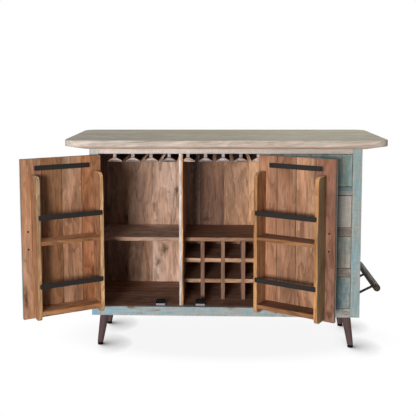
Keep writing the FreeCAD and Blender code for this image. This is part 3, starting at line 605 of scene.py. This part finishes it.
def rubbed_paint(colours):
    """Milk paint brushed on softwood and rubbed through: a chalky coat that drifts towards blue, thins to its
    greige ground in small flecks and keeps the brush's hatching, with bare wood at the edges and in a few
    scrapes."""
    material, shader = finish("milk_paint_brushed_and_rubbed_through", ior=1.46, specular_ior_level=0.3)
    tree = material.node_tree
    board = figure(tree, 12, 0.12, 0.25, 0.3)
    field = board.field
    arris = add(tree, "Attribute", out="Fac", attribute_name="arris")
    rub = add(tree, "Attribute", out="Fac", attribute_name="rub")
    drift = add(tree, "MapRange", {"Value": marks(tree, field, 150, 30, 3), 1: 0.46, 2: 0.68})
    # a coat that is hardly worn keeps its own colour
    kept = add(tree, "MapRange", {"Value": rub, 1: -0.04, 2: 0})
    drift = add(tree, "Math", {0: drift, 1: kept}, operation="MULTIPLY")
    bluer = (0.78, 1, 1.12, 1)
    tone = add(tree, "Mix", {0: drift, 6: board.tone, 7: bluer}, 2, **RGBA, blend_type="MULTIPLY")
    patches = marks(tree, field, 84, 25, 5, rough=0.66)
    scrapes = marks(tree, field, 90, 9, 3)
    worn = rub
    for mark, share in ((scrapes, 0.5), (patches, 1), (arris, 0.08)):
        worn = add(tree, "Math", {0: mark, 1: share, 2: worn}, operation="MULTIPLY_ADD")
    # bristle marks are under a millimetre; drawn 8 mm wide so that they show
    stroke = add(tree, "MapRange", {"Value": marks(tree, field, 220, 8, 2), 1: 0.2, 2: 0.8, 3: 0.84, 4: 1.16})
    lap = add(tree, "MapRange", {"Value": marks(tree, field, 9, 34, 3), 1: 0.2, 2: 0.8, 3: 0.88, 4: 1.12})
    hatch = add(tree, "Math", {0: stroke, 1: lap}, operation="MULTIPLY")
    ground = add(tree, "Mix", {0: 0.75, 6: tone, 7: (*colours.stone, 1)}, 2, **RGBA)
    thin = add(tree, "MapRange", {"Value": worn, 1: 0.66, 2: 0.92, 4: 0.85}, **SMOOTH)
    bare = add(tree, "MapRange", {"Value": worn, 1: 0.96, 2: 1.08, 4: 0.9}, **SMOOTH)
    skin = shaded(tree, tone, hatch)
    for share, under in ((thin, shaded(tree, ground, hatch)),
                         (bare, shaded(tree, (*colours.under_paint, 1), board.shade))):
        skin = add(tree, "Mix", {0: share, 6: skin, 7: under}, 2, **RGBA)
    chalk = add(tree, "MapRange", {"Value": bare, 3: 0.82, 4: 0.62})
    relief = add(tree, "Math", {0: bare, 1: -0.6, 2: hatch}, operation="MULTIPLY_ADD")
    return dressed(material, shader, skin, relief, 0.5, 0.5, chalk)


def weathered_oak(colours):
    """Oak, weathered and wire brushed: dry, matt and silvery, the soft wood worn out between the fibres."""
    material, shader = finish("oak_weathered_and_wire_brushed", ior=1.48, roughness=0.78,
                              specular_ior_level=0.3)
    tree = material.node_tree
    tone, shade, fibre, field = figure(tree, 18, 0.16, 0.42, 0.2)
    patina = marks(tree, field, 300, 40, 4)
    patina = add(tree, "MapRange", {"Value": patina, 1: 0.5, 2: 0.72, 4: 0.45}, **SMOOTH)
    # cracks are about 1 mm wide; drawn 7 mm wide and faint so that they show
    checks = marks(tree, field, 340, 7, 1)
    checks = add(tree, "MapRange", {"Value": checks, 1: 0.62, 2: 0.76, 4: 0.55}, **SMOOTH)
    skin = shaded(tree, tone, shade)
    for share, over in ((patina, colours.top_grey), (checks, colours.top_check)):
        skin = add(tree, "Mix", {0: share, 6: skin, 7: (*over, 1)}, 2, **RGBA)
    relief = add(tree, "Math", {0: checks, 1: -0.7, 2: fibre}, operation="MULTIPLY_ADD")
    return dressed(material, shader, skin, relief, 0.6, 0.8)


def stained_beech(colours):
    """Beech, turned and dark stained: fine even grain under a thin satin coat."""
    material, shader = finish("beech_turned_and_dark_stained", ior=1.5, specular_ior_level=0.15)
    tree = material.node_tree
    wood = figure(tree, 16, 0.1, 0.25, 0.25)
    dull = add(tree, "MapRange", {"Value": wood.fibre, 3: 0.6, 4: 0.75})
    return dressed(material, shader, shaded(tree, wood.tone, wood.shade), wood.fibre, 0.2, 0.3, dull)


def mottled(name, tone, grit, swing, dullness, relief, **sockets):
    """A hard finish whose skin varies in patches of the given grit size and relief in millimetres."""
    material, shader = finish(name, **sockets)
    tree = material.node_tree
    place = add(tree, "TexCoord", out="Object")
    skin = add(tree, "TexNoise", {"Vector": place, "Scale": 1 / (grit * MM), "Detail": 4, "Roughness": 0.6})
    light = add(tree, "MapRange", {"Value": skin, 1: 0.25, 2: 0.75, 3: 1 - swing, 4: 1 + swing})
    dull = add(tree, "MapRange", {"Value": skin, 1: 0.3, 2: 0.7, 3: dullness - 0.1, 4: dullness + 0.1})
    return dressed(material, shader, shaded(tree, (*tone, 1), light), skin, 0.4, relief, dull)


def blackened_iron(colours):
    """Wrought iron, forged and oil blackened: a dark matt scale with small hammered facets."""
    return mottled("iron_forged_and_oil_blackened", colours.iron, 14, 0.3, 0.62, 0.5, metallic=0.4,
                   specular_ior_level=0.3)


def phosphated_steel(colours):
    """Mild steel, phosphated: a dull dark grey with the faint cloud of the dipping bath."""
    return mottled("steel_phosphated_grey", colours.steel, 9, 0.12, 0.5, 0.05, metallic=1)


def black_plastic(colours):
    """ABS, moulded black: a fine spark-eroded texture, grit drawn at 2 mm so that it shows."""
    return mottled("abs_moulded_black", colours.plastic, 2, 0.2, 0.6, 0.1, ior=1.54,
                   specular_ior_level=0.05)


MAKERS = {
    "wood": reclaimed_teak, "paint": rubbed_paint, "top": weathered_oak, "leg": stained_beech,
    "iron": blackened_iron, "steel": phosphated_steel, "plastic": black_plastic,
}
MADE = {}


def finish_for(kind):
    """The finished material of a kind, made once."""
    if kind not in MADE:
        MADE[kind] = MAKERS[kind](bpy.context.scene.armoire_colours)
    return MADE[kind]


def coat_node(kind, *nodes):
    """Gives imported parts, whose shape stays, their finish."""
    for node in nodes:
        data = frame["nodes"][node].data
        data.materials.clear()
        data.materials.append(finish_for(kind))


def jointed(sizes, node, name, number, grain, tone, edge=None):
    """One wooden piece of boards jointed side by side from front to back."""
    stock = Stock(sizes, node)
    for low, high in row(*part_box(node), Y, number, sizes.tight_joint):
        stock.board(low, high, grain, stock.varied(tone), edge)
    stock.piece(name, "wood", "reclaimed_wood", node)


# Pieces


class ARMOIRE_OT_bar_top(bpy.types.Operator):
    """Weathered slab with rounded corners and a bevel under its edge"""

    bl_idname = "armoire.bar_top"
    bl_label = "Bar top"

    def execute(self, context):
        sizes, colours = settings(context)
        low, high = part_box("bar_top")
        thick = high.z - low.z
        shape = outline(rectangle((low.x, low.y), (high.x, high.y)), [sizes.top_corner] * 4, run=0.05)
        bevel, climb, ease = sizes.top_bevel_in, sizes.top_bevel_up, sizes.ease
        # the edge and the face fade darker towards the drawer end
        edge, under = (colours.top_edge, colours.top_edge_far), tuple(colours.top_bevel)
        face = (colours.top, colours.top_far)
        # the under rings' pale colour is painted light on the bevel, which faces down into shade
        profile = [
            Ring(bevel + sizes.fade, 0, 0, under, 0), Ring(bevel, 0, 0.2, under, 0),
            Ring(ease, climb - ease / 2, 0.2, under, 0), Ring(0, climb + ease / 2, 0.8, edge, 0),
            Ring(0, thick - ease, 0.8, edge, 0), Ring(ease * MID_EASE, thick - ease * MID_EASE, 1, edge, 0),
            Ring(ease, thick, 0.6, face, 0), Ring(ease + sizes.fade, thick, 0, face, 0),
        ]
        stock = Stock(sizes, "bar_top")
        stock.slab(shape, (X, Y, Z), low.z, profile, X)
        # the bevel runs further in at the two ends
        half = (high.x - low.x) / 2
        for spot in stock.points:
            if spot.z < low.z + ease / 4:
                spot.x *= (half - sizes.top_bevel_end) / (half - bevel)
        stock.piece("bar_top_slab", "top", "weathered_top", "bar_top")
        return {"FINISHED"}


class ARMOIRE_OT_face_frame(bpy.types.Operator):
    """Painted stiles and rails, every board with a coat that has worn in its own way"""

    bl_idname = "armoire.face_frame"
    bl_label = "Face frame"

    def execute(self, context):
        sizes, colours = settings(context)
        gap, stile = sizes.drawer_gap, sizes.stile
        fronts = [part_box(f"drawer_{number}_front") for number in DRAWERS]
        above, below = fronts[0][1].z + gap, fronts[-1][0].z - gap
        inner = fronts[0][0].x - gap
        low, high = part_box("face_frame_stiles")
        stock = Stock(sizes, "stiles")
        pale = blended(colours.cream, colours.teal, 0.3)
        bluish = blended(colours.teal, colours.blue_teal, 0.2)
        stock.board(*span(low, high, X, low.x, low.x + stile), Z, (colours.blue_teal, pale))
        stock.board(*span(low, high, X, high.x - stile, high.x), Z, (bluish, colours.teal), rub=0.01)
        stock.board(Vector((inner - stile, low.y, below)), Vector((inner, high.y, above)), Z, colours.teal)
        stock.piece("painted_stiles", "paint", "teal_paint", "face_frame_stiles")
        low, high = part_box("face_frame_rails")
        stock = Stock(sizes, "rails")
        greyish = blended(colours.teal, colours.stone, 0.1)
        stock.board(*span(low, high, Z, above, high.z), X, (colours.cream, colours.stone), rub=-0.08)
        stock.board(*span(low, high, Z, low.z, below), X, (colours.blue_teal, greyish), rub=0.14)
        # painted shade: the rails' edges along the drawer gaps are darkened so the gaps read as shaded lines
        painted_gap_shade = darker(colours.under_paint, 0.5)
        coats = ((darker(colours.teal, 0.6), 0), (colours.taupe, -0.05), (colours.taupe, -0.05))
        for upper, lower, (tone, rub) in zip(fronts, fronts[1:], coats):
            start = Vector((inner, low.y, lower[1].z + gap))
            end = Vector((high.x, high.y, upper[0].z - gap))
            stock.board(start, end, X, tone, painted_gap_shade, rub)
        stock.piece("painted_rails", "paint", "teal_paint", "face_frame_rails")
        return {"FINISHED"}


class ARMOIRE_OT_carcass(bpy.types.Operator):
    """Side panels and back planks, painted outside only, and the boards and blocks between them"""

    bl_idname = "armoire.carcass"
    bl_label = "Carcass"

    def execute(self, context):
        sizes, colours = settings(context)
        for node, side in (("left_side_panel", False), ("right_side_panel", True)):
            stock = Stock(sizes, node)
            for low, high in row(*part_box(node), Y, sizes.panel_boards, sizes.tight_joint):
                coat = (side, stock.varied(colours.teal), stock.random.uniform(-0.05, 0.05))
                stock.board(low, high, Z, stock.varied(colours.umber), faced=coat)
            stock.piece(node + "_boards", "wood paint", "teal_paint", node)
        insides = (colours.walnut, colours.walnut, colours.blush, colours.blush, colours.cocoa,
                   blended(colours.cocoa, colours.gold, 0.4), colours.gold)
        stock = Stock(sizes, "back")
        planks = row(*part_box("back_planks"), X, sizes.back_planks, sizes.tight_joint)
        for (low, high), inside in zip(planks, cycle(insides)):
            coat = (True, stock.varied(colours.teal, 0.12), stock.random.uniform(-0.06, 0.06))
            tone = stock.varied(inside, 0.03)
            stock.board(low, high, Z, tone, darker(tone, 0.4), faced=coat, ease=sizes.tight_ease, nick=0)
        stock.piece("back_boards", "wood paint", "teal_paint", "back_planks")
        for node, grain, tone in (("floor_board", X, colours.soot), ("ceiling_board", X, colours.umber),
                                  ("drawer_partition", Z, colours.umber)):
            jointed(sizes, node, node + "_boards", sizes.panel_boards, grain, tone)
        stock = Stock(sizes, "blocks")
        low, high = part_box("corner_blocks")
        block = sizes.corner_block
        for start in (low.x, high.x - block):
            for near in (low.y, high.y - block):
                far = Vector((start + block, near + block, high.z))
                stock.board(Vector((start, near, low.z)), far, X, stock.varied(colours.umber))
        stock.piece("corner_block_stack", "wood", "reclaimed_wood", "corner_blocks")
        return {"FINISHED"}


class ARMOIRE_OT_interior(bpy.types.Operator):
    """Divider of two boards, interior shelves and wine rack"""

    bl_idname = "armoire.interior"
    bl_label = "Interior"

    def execute(self, context):
        sizes, colours = settings(context)
        low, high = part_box("centre_divider")
        core_share = 0.7
        seam = low.x + (high.x - low.x) * core_share
        pale = blended(colours.cream, colours.blush, 0.25)
        stock = Stock(sizes, "divider")
        stock.board(*span(low, high, X, low.x, seam), Z, colours.umber, pale)
        stock.board(*span(low, high, X, seam, high.x), Z, colours.fawn, colours.honey)
        stock.piece("centre_divider_boards", "wood", "reclaimed_wood", "centre_divider")
        chestnut = colours.chestnut
        for node, tone, edge in (
                ("left_shelf", blended(colours.blush, colours.cream, 0.35), colours.biscuit),
                ("right_shelf", blended(colours.umber, colours.blush, 0.2), darker(chestnut, 0.82))):
            jointed(sizes, node, node + "_planks", sizes.shelf_boards, X, tone, edge)
        low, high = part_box("wine_rack_uprights")
        board, uprights = sizes.rack_board, sizes.rack_uprights
        step = (high.x - low.x - board) / (uprights - 1)
        stock = Stock(sizes, "uprights")
        for number in range(uprights):
            start = low.x + number * step
            stock.board(*span(low, high, X, start, start + board), Z,
                        stock.varied(colours.soot), stock.varied(darker(chestnut, 0.68)))
        stock.piece("wine_rack_upright_boards", "wood", "reclaimed_wood", "wine_rack_uprights")
        low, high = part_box("wine_rack_shelves")
        wide = (high.x - low.x - uprights * board) / (uprights + 1)
        golden = blended(colours.tan, colours.gold, 0.4)
        stock = Stock(sizes, "rack_shelves")
        for column in range(uprights + 1):
            start = low.x + column * (wide + board)
            for bottom in (low.z, high.z - board):
                end = Vector((start + wide, high.y, bottom + board))
                stock.board(Vector((start, low.y, bottom)), end, X,
                            stock.varied(colours.soot), stock.varied(golden))
        stock.piece("wine_rack_shelf_boards", "wood", "reclaimed_wood", "wine_rack_shelves")
        return {"FINISHED"}


class ARMOIRE_OT_glass_rails(bpy.types.Operator):
    """Stemware rails: a stem and a flange with sloping shoulders, pale at the sawn ends"""

    bl_idname = "armoire.glass_rails"
    bl_label = "Stemware rails"

    def execute(self, context):
        sizes, colours = settings(context)
        low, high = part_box("glass_rails")
        divider_low, divider_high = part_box("centre_divider")
        stem, shoulder, lip, wall = sizes.rail_stem / 2, sizes.rail_shoulder, sizes.rail_lip, sizes.rail_wall
        left_pitch, right_pitch = sizes.rail_left_pitch, sizes.rail_right_pitch
        first = divider_low.x - sizes.rail_first
        left = [first - number * left_pitch for number in range(sizes.left_rails)]
        right = [divider_high.x + wall + number * right_pitch for number in range(sizes.right_rails)]
        top = low.z + shoulder
        stock = Stock(sizes, "rails")
        for centres, pitch in ((left, left_pitch), (right, right_pitch)):
            half = (pitch - sizes.rail_slot) / 2
            slope = (shoulder - lip) / (half - stem)
            for number, centre in enumerate(centres):
                # the outermost flanges of the right bay end at its walls
                near = wall if centres is right and number == 0 else half
                far = wall if centres is right and number == len(centres) - 1 else half
                flange = [Vector(spot) for spot in (
                    (centre - near, low.z), (centre + far, low.z),
                    (centre + far, low.z + lip + (half - far) * slope), (centre + stem, top),
                    (centre - stem, top), (centre - near, low.z + lip + (half - near) * slope))]
                # the sawn ends are pale and the lengths between them brown
                end, between = stock.varied(colours.ash, 0.2), stock.varied(darker(colours.umber, 0.6))
                profile = stock.eased_rings(high.y - low.y, 2 * lip, sizes.ease, end, between)
                for corners in (flange, rectangle((centre - stem, top), (centre + stem, high.z))):
                    shape = outline(corners, [sizes.rail_round] * len(corners))
                    stock.slab(shape, (X, Z, Y), low.y, profile, Y)
        stock.piece("stemware_rails", "wood", "reclaimed_wood", "glass_rails")
        return {"FINISHED"}


class Leaf:
    """One door: how it swings from shut to where it stands, and its nodes' boxes when shut."""

    def __init__(self, word):
        joint = JOINTS[word + "_door"]
        pivot = Matrix.Translation(Vector(joint["pos_m"]))
        swing = Matrix.Rotation(-math.radians(joint["range_deg"][1]), 4, Vector(joint["axis"]))
        self.turn = pivot @ swing @ pivot.inverted()
        self.word = word

    def node(self, name):
        return f"{self.word}_door_{name}"

    def shut(self, name):
        """Lowest and highest corner of a node of this door when the door is shut."""
        back = self.turn.inverted()
        spots = [back @ vertex.co for vertex in frame["nodes"][self.node(name)].data.vertices]
        return (Vector(min(spot[axis] for spot in spots) for axis in (X, Y, Z)),
                Vector(max(spot[axis] for spot in spots) for axis in (X, Y, Z)))

    def stock(self, sizes, name):
        return Stock(sizes, self.node(name), self.turn)


class ARMOIRE_OT_doors(bpy.types.Operator):
    """Plank doors, bare inside and painted outside, with their side boards and shelves"""

    bl_idname = "armoire.doors"
    bl_label = "Doors"

    def execute(self, context):
        sizes, colours = settings(context)
        tan, fawn, amber = colours.tan, colours.fawn, colours.amber
        from_hinge = {
            "left": (colours.russet, darker(tan, 0.92), darker(amber, 0.78), darker(tan, 0.88)),
            "right": (darker(fawn, 0.92), darker(fawn, 0.83), darker(tan, 0.96), colours.mauve),
        }
        # side boards from the left end of a shut door: face and edge
        mossy, warm = blended(colours.honey, colours.lichen, 0.5), darker(colours.apricot, 0.8)
        sides = {
            "left": ((blended(amber, tan, 0.5), colours.straw), (amber, (colours.honey, mossy))),
            "right": ((colours.olive, warm), (amber, warm)),
        }
        shelves = {
            "left": (blended(tan, colours.gold, 0.6), colours.copper),
            "right": (darker(colours.umber, 0.85), darker(colours.copper, 0.8)),
        }
        for word in DOORS:
            leaf = Leaf(word)
            planks = list(row(*leaf.shut("planks"), X, sizes.door_planks, sizes.door_joint))
            if word == "right":
                planks.reverse()
            stock = leaf.stock(sizes, "planks")
            for (low, high), inside in zip(planks, cycle(from_hinge[word])):
                tone = stock.varied(inside, 0.04)
                coat = (False, stock.varied(colours.teal, 0.12), stock.random.uniform(-0.05, 0.06))
                stock.board(low, high, Z, tone, darker(tone, 0.4), faced=coat, ease=2 * sizes.tight_ease)
            stock.piece(leaf.node("plank_boards"), "wood paint", "reclaimed_wood", leaf.node("planks"))
            stock = leaf.stock(sizes, "side_boards")
            low, high = leaf.shut("side_boards")
            # the two corners away from the planks are rounded
            bends = [sizes.ease] * 2 + [sizes.side_board_round] * 2
            for start, (face, edge) in zip((low.x, high.x - sizes.side_board), sides[word]):
                end = start + sizes.side_board
                stock.board(*span(low, high, X, start, end), Z, face, edge, corners=bends)
            stock.piece(leaf.node("side_board_pair"), "wood", "reclaimed_wood", leaf.node("side_boards"))
            stock = leaf.stock(sizes, "shelves")
            low, high = leaf.shut("shelves")
            for start, end in ((high.z - sizes.upper_shelf, high.z), (low.z, low.z + sizes.lower_shelf)):
                stock.board(*span(low, high, Z, start, end), X, *shelves[word])
            stock.piece(leaf.node("shelf_boards"), "wood", "reclaimed_wood", leaf.node("shelves"))
        return {"FINISHED"}


class ARMOIRE_OT_door_iron(bpy.types.Operator):
    """Iron strap and guard bars of each door, with its screw heads, pull, hinge leaves and strike plate"""

    bl_idname = "armoire.door_iron"
    bl_label = "Door ironwork"

    def execute(self, context):
        sizes, colours = settings(context)
        filed = {"tone": tuple(colours.iron), "ease": sizes.iron_ease, "corners": [sizes.iron_round] * 4,
                 "nick": 0}
        for word in DOORS:
            leaf = Leaf(word)
            stock = leaf.stock(sizes, "face_strap")
            stock.board(*leaf.shut("face_strap"), X, **filed)
            stock.piece(leaf.node("strap_iron"), "iron", "black_iron", leaf.node("face_strap"))
            stock = leaf.stock(sizes, "guard_bars")
            low, high = leaf.shut("guard_bars")
            for bottom in (low.z, high.z - sizes.guard):
                stock.board(*span(low, high, Z, bottom, bottom + sizes.guard), X, **filed)
            stock.piece(leaf.node("guard_irons"), "iron", "black_iron", leaf.node("guard_bars"))
            for name in ("screws", "pull", "hinge_leaves", "strike_plate"):
                coat_node("iron", leaf.node(name))
        return {"FINISHED"}


class ARMOIRE_OT_drawers(bpy.types.Operator):
    """Painted drawer fronts, plain boxes and iron knobs"""

    bl_idname = "armoire.drawers"
    bl_label = "Drawers"

    def execute(self, context):
        sizes, colours = settings(context)
        stone, deep_teal = colours.stone, colours.deep_teal
        # one tone, or two from the bottom of a front to its top, and how far the coat is rubbed
        coats = ((deep_teal, 0), (darker(stone, 0.95), 0),
                 ((blended(colours.moss, darker(stone, 0.8), 0.6), colours.moss), 0),
                 ((darker(colours.blue_teal, 0.54), deep_teal), 0.02))
        # painted shade: the fronts' edges are darkened so the gaps round the drawers read as shaded lines
        painted_gap_shade = darker(colours.under_paint, 0.4)
        board = sizes.drawer_board
        for number, (tone, rub) in zip(DRAWERS, coats):
            node = f"drawer_{number}_front"
            stock = Stock(sizes, node)
            stock.board(*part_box(node), Z, tone, painted_gap_shade, rub, ease=sizes.drawer_ease)
            stock.piece(node + "_board", "paint", "teal_paint", node)
            node = f"drawer_{number}_box"
            stock = Stock(sizes, node)
            low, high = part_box(node)
            inner_low, inner_high = span(low, high, X, low.x + board, high.x - board)
            base, rear = low.z + sizes.drawer_lift, high.y - board
            bottom_end = Vector((inner_high.x, rear, base + sizes.drawer_bottom))
            for start, end, grain in (
                    (*span(low, high, X, low.x, low.x + board), Y),
                    (*span(low, high, X, high.x - board, high.x), Y),
                    (with_axis(inner_low, Y, rear), inner_high, X),
                    (with_axis(inner_low, Z, base), bottom_end, X)):
                stock.board(start, end, grain, stock.varied(colours.tan))
            stock.piece(node + "_boards", "wood", "reclaimed_wood", node)
            coat_node("iron", f"drawer_{number}_knob")
        stock = Stock(sizes, "runners")
        low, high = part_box("drawer_runners")
        box_low, box_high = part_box("drawer_1_box")
        for number in DRAWERS:
            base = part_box(f"drawer_{number}_front")[0].z - sizes.drawer_gap
            for start, end in ((low.x, box_low.x + board), (box_high.x - board, high.x)):
                stock.board(Vector((start, low.y, base)), Vector((end, high.y, base + sizes.runner)), Y,
                            stock.varied(colours.umber))
        stock.piece("drawer_runner_strips", "wood", "reclaimed_wood", "drawer_runners")
        return {"FINISHED"}


class ARMOIRE_OT_legs(bpy.types.Operator):
    """Splayed tapered legs and the foot rails, turned and dark stained"""

    bl_idname = "armoire.legs"
    bl_label = "Legs and foot rails"

    def execute(self, context):
        sizes, colours = settings(context)
        foot, head, ease = sizes.leg_foot, sizes.leg_head, sizes.leg_ease
        for depth, side_y in (("front", -1), ("back", 1)):
            for word, side_x in (("left", -1), ("right", 1)):
                node = f"{depth}_{word}_leg"
                low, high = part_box(node)
                outer = Vector((low.x if side_x < 0 else high.x, low.y if side_y < 0 else high.y, low.z))
                inner = Vector((high.x if side_x < 0 else low.x, high.y if side_y < 0 else low.y, high.z))
                base = outer - Vector((side_x * foot, side_y * foot, 0))
                top = inner + Vector((side_x * head, side_y * head, 0))
                rise = (top - base) / (top.z - base.z)
                stations = [(base, foot - ease), (base + rise * ease * 0.4, foot - ease * 0.3),
                            (base + rise * ease, foot)]
                for step in range(1, LEG_STEPS + 1):
                    share = step / LEG_STEPS
                    stations.append((base.lerp(top, share), foot + (head - foot) * share))
                stock = Stock(sizes, node)
                stock.turning(stations, Vector((0, 0, 1)), tuple(colours.leg))
                stock.piece(node + "_turning", "leg", "dark_wood", node)
        low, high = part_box("end_foot_rails")
        radius = (high.z - low.z) / 2
        centre = (high.z + low.z) / 2
        stock = Stock(sizes, "end_rails")
        for middle in (low.x + radius, high.x - radius):
            start, end = Vector((middle, low.y, centre)), Vector((middle, high.y, centre))
            self.rail(stock, start, end, radius, colours)
        stock.piece("end_rail_turnings", "leg", "dark_wood", "end_foot_rails")
        low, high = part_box("back_foot_rail")
        middle = (low.y + high.y) / 2
        stock = Stock(sizes, "back_rail")
        self.rail(stock, Vector((low.x, middle, centre)), Vector((high.x, middle, centre)), radius, colours)
        stock.piece("back_rail_turning", "leg", "dark_wood", "back_foot_rail")
        coat_node("iron", "foot_rail_brackets")
        coat_node("steel", "leg_plates")
        coat_node("plastic", "foot_glides")
        return {"FINISHED"}

    def rail(self, stock, start, end, radius, colours):
        """A round rail with domed ends between two points."""
        heading = (end - start).normalized()
        dome = []
        for step in range(1, DOME_STEPS + 1):
            angle = math.radians(90 * step / DOME_STEPS)
            dome.append((radius * (1 - math.cos(angle)), radius * math.sin(angle)))
        straight = (end - start).length - 2 * radius
        stations = [(start + heading * reach, width) for reach, width in dome]
        for step in range(1, RAIL_STEPS):
            stations.append((start + heading * (radius + straight * step / RAIL_STEPS), radius))
        stations += [(end - heading * reach, width) for reach, width in reversed(dome)]
        stock.turning(stations, heading, tuple(colours.rail))


class ARMOIRE_OT_fittings(bpy.types.Operator):
    """Hinges and door catches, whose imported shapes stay"""

    bl_idname = "armoire.fittings"
    bl_label = "Hinges and catches"

    def execute(self, context):
        coat_node("iron", "hinge_frame_leaves", "hinge_pins")
        coat_node("plastic", "door_catches")
        coat_node("steel", "catch_poles")
        return {"FINISHED"}


def softbox(name, watts, size, place, target):
    """A soft rectangular studio lamp that looks at a point."""
    lamp = bpy.data.lights.new(name, "AREA")
    lamp.shape, lamp.size, lamp.size_y, lamp.energy = "RECTANGLE", *size, watts
    stand = bpy.data.objects.new(name, lamp)
    stand.location = place
    stand.rotation_euler = (Vector(target) - Vector(place)).to_track_quat("-Z", "Y").to_euler()
    bpy.context.scene.collection.objects.link(stand)


def seen(tree):
    """1 for rays that show the background: straight from the camera, mirrored or through glass."""
    rays = add(tree, "LightPath", out="Is Camera Ray").node.outputs
    either = add(tree, "Math", {0: rays["Is Camera Ray"], 1: rays["Is Glossy Ray"]}, operation="MAXIMUM")
    return add(tree, "Math", {0: either, 1: rays["Is Transmission Ray"]}, operation="MAXIMUM")


class ARMOIRE_OT_stage(bpy.types.Operator):
    """Pale floor, soft light from the front left, and the photograph's camera"""

    bl_idname = "armoire.stage"
    bl_label = "Stage"

    def execute(self, context):
        scene, stage = context.scene, context.scene.armoire_stage
        scene.view_settings.view_transform = "Standard"
        self.floor(scene, stage)
        world = bpy.data.worlds.new("studio_room")
        world.use_nodes = True
        scene.world = world
        tree = world.node_tree
        strength = add(tree, "MapRange", {"Value": seen(tree), 3: stage.room, 4: 1})
        tree.links.new(strength, tree.nodes["Background"].inputs["Strength"])
        tree.nodes["Background"].inputs["Color"].default_value = (1, 1, 1, 1)
        middle = (0, 0, 0.6)
        softbox("key_softbox", stage.key, (2.4, 2), (-2.45, -10.2, 1.4), middle)
        softbox("over_softbox", stage.over, (3, 1.6), (0, 0.9, 3.9), (0, 0.2, 0.6))
        softbox("side_softbox", stage.side, (1, 1), (-4, -0.6, 0.8), middle)
        softbox("back_softbox", stage.back, (2, 1.5), (1.4, 4.8, 1.6), middle)
        self.camera(scene)
        return {"FINISHED"}

    def floor(self, scene, stage):
        """White paper floor with a faint shadow round the cabinet that fades to plain white further off."""
        material, shader = finish("studio_floor_matt_paper", roughness=0.9, base_color=(*stage.floor, 1))
        tree = material.node_tree
        place = add(tree, "NewGeometry", out="Position")
        # the shadow lies in an oval, wider than it is deep
        oval = (1.25, 2.8, 0)
        place = add(tree, "VectorMath", {0: place, 1: oval}, operation="MULTIPLY")
        reach = add(tree, "VectorMath", {0: place}, "Value", operation="LENGTH")
        share = add(tree, "MapRange", {"Value": reach, 1: 0.75, 2: 1.2, 3: 0.9, 4: 1}, **SMOOTH)
        # painted shadows: occlusion that leans to the left darkens the paper in short soft streaks right of the
        # feet
        lean = add(tree, "CombineXYZ", {0: -0.9, 1: -0.1, 2: 0.42})
        clear = add(tree, "AmbientOcclusion", {"Distance": 0.15, "Normal": lean}, "AO", samples=16)
        clear = add(tree, "Math", {0: clear, 1: 4}, operation="POWER")
        share = add(tree, "Math", {0: share, 1: clear}, operation="MULTIPLY")
        share = add(tree, "Math", {0: share, 1: seen(tree)}, operation="MULTIPLY")
        white = add(tree, "Emission", {"Color": (1, 1, 1, 1), "Strength": 1})
        paper = add(tree, "MixShader", {0: share, 1: shader.outputs[0], 2: white})
        tree.links.new(paper, tree.nodes["Material Output"].inputs["Surface"])
        mesh = bpy.data.meshes.new("studio_floor")
        edge = 14
        mesh.from_pydata([(-edge, -edge, 0), (edge, -edge, 0), (edge, edge, 0), (-edge, edge, 0)], [],
                         [(0, 1, 2, 3)])
        mesh.materials.append(material)
        floor = bpy.data.objects.new("studio_floor", mesh)
        scene.collection.objects.link(floor)

    def camera(self, scene):
        """The camera that took the photograph, worked out from the cabinet's straight edges."""
        lens = bpy.data.cameras.new("photo_camera")
        pixels, focal, centre = 416, 742.53, (187.03, 143.73)
        lens.sensor_fit = "HORIZONTAL"
        lens.sensor_width = 36
        lens.lens = focal / pixels * lens.sensor_width
        lens.shift_x = (pixels / 2 - centre[0]) / pixels
        lens.shift_y = (centre[1] - pixels / 2) / pixels
        yaw, pitch, roll = -0.043, 0.0982, 0.0033
        ahead = Vector((math.sin(yaw) * math.cos(pitch), math.cos(yaw) * math.cos(pitch), -math.sin(pitch)))
        right = Vector((math.cos(yaw), -math.sin(yaw), 0))
        up = right.cross(ahead)
        right, up = right * math.cos(roll) - up * math.sin(roll), right * math.sin(roll) + up * math.cos(roll)
        stand = bpy.data.objects.new("photo_camera", lens)
        stand.matrix_world = Matrix((right, up, -ahead)).transposed().to_4x4()
        stand.location = (-0.02967, -3.8607, 1.4054)
        scene.collection.objects.link(stand)
        scene.camera = stand


class ARMOIRE_PT_panel(bpy.types.Panel):
    """Lists the steps that dress the bar armoire"""

    bl_idname = "ARMOIRE_PT_panel"
    bl_label = "Bar armoire"
    bl_space_type = "VIEW_3D"
    bl_region_type = "UI"
    bl_category = "Bar armoire"

    def draw(self, context):
        for step in STEPS:
            self.layout.operator(step.bl_idname)
        for group in GROUPS:
            box = self.layout.box()
            values = getattr(context.scene, group)
            for name in values.bl_rna.properties.keys():
                if name not in ("rna_type", "name"):
                    box.prop(values, name)


GROUPS = {"armoire_sizes": ArmoireSizes, "armoire_colours": ArmoireColours, "armoire_stage": ArmoireStage}
STEPS = (
    ARMOIRE_OT_bar_top, ARMOIRE_OT_face_frame, ARMOIRE_OT_carcass, ARMOIRE_OT_interior,
    ARMOIRE_OT_glass_rails, ARMOIRE_OT_doors, ARMOIRE_OT_door_iron, ARMOIRE_OT_drawers, ARMOIRE_OT_legs,
    ARMOIRE_OT_fittings, ARMOIRE_OT_stage,
)


def register():
    for group in (*GROUPS.values(), *STEPS, ARMOIRE_PT_panel):
        bpy.utils.register_class(group)
    for name, group in GROUPS.items():
        setattr(bpy.types.Scene, name, PointerProperty(type=group))


def unregister():
    for name in GROUPS:
        delattr(bpy.types.Scene, name)
    for group in (ARMOIRE_PT_panel, *reversed(STEPS), *GROUPS.values()):
        bpy.utils.unregister_class(group)


def main():
    register()
    for step in STEPS:
        area, name = step.bl_idname.split(".")
        getattr(getattr(bpy.ops, area), name)()


if __name__ == "__main__":
    main()
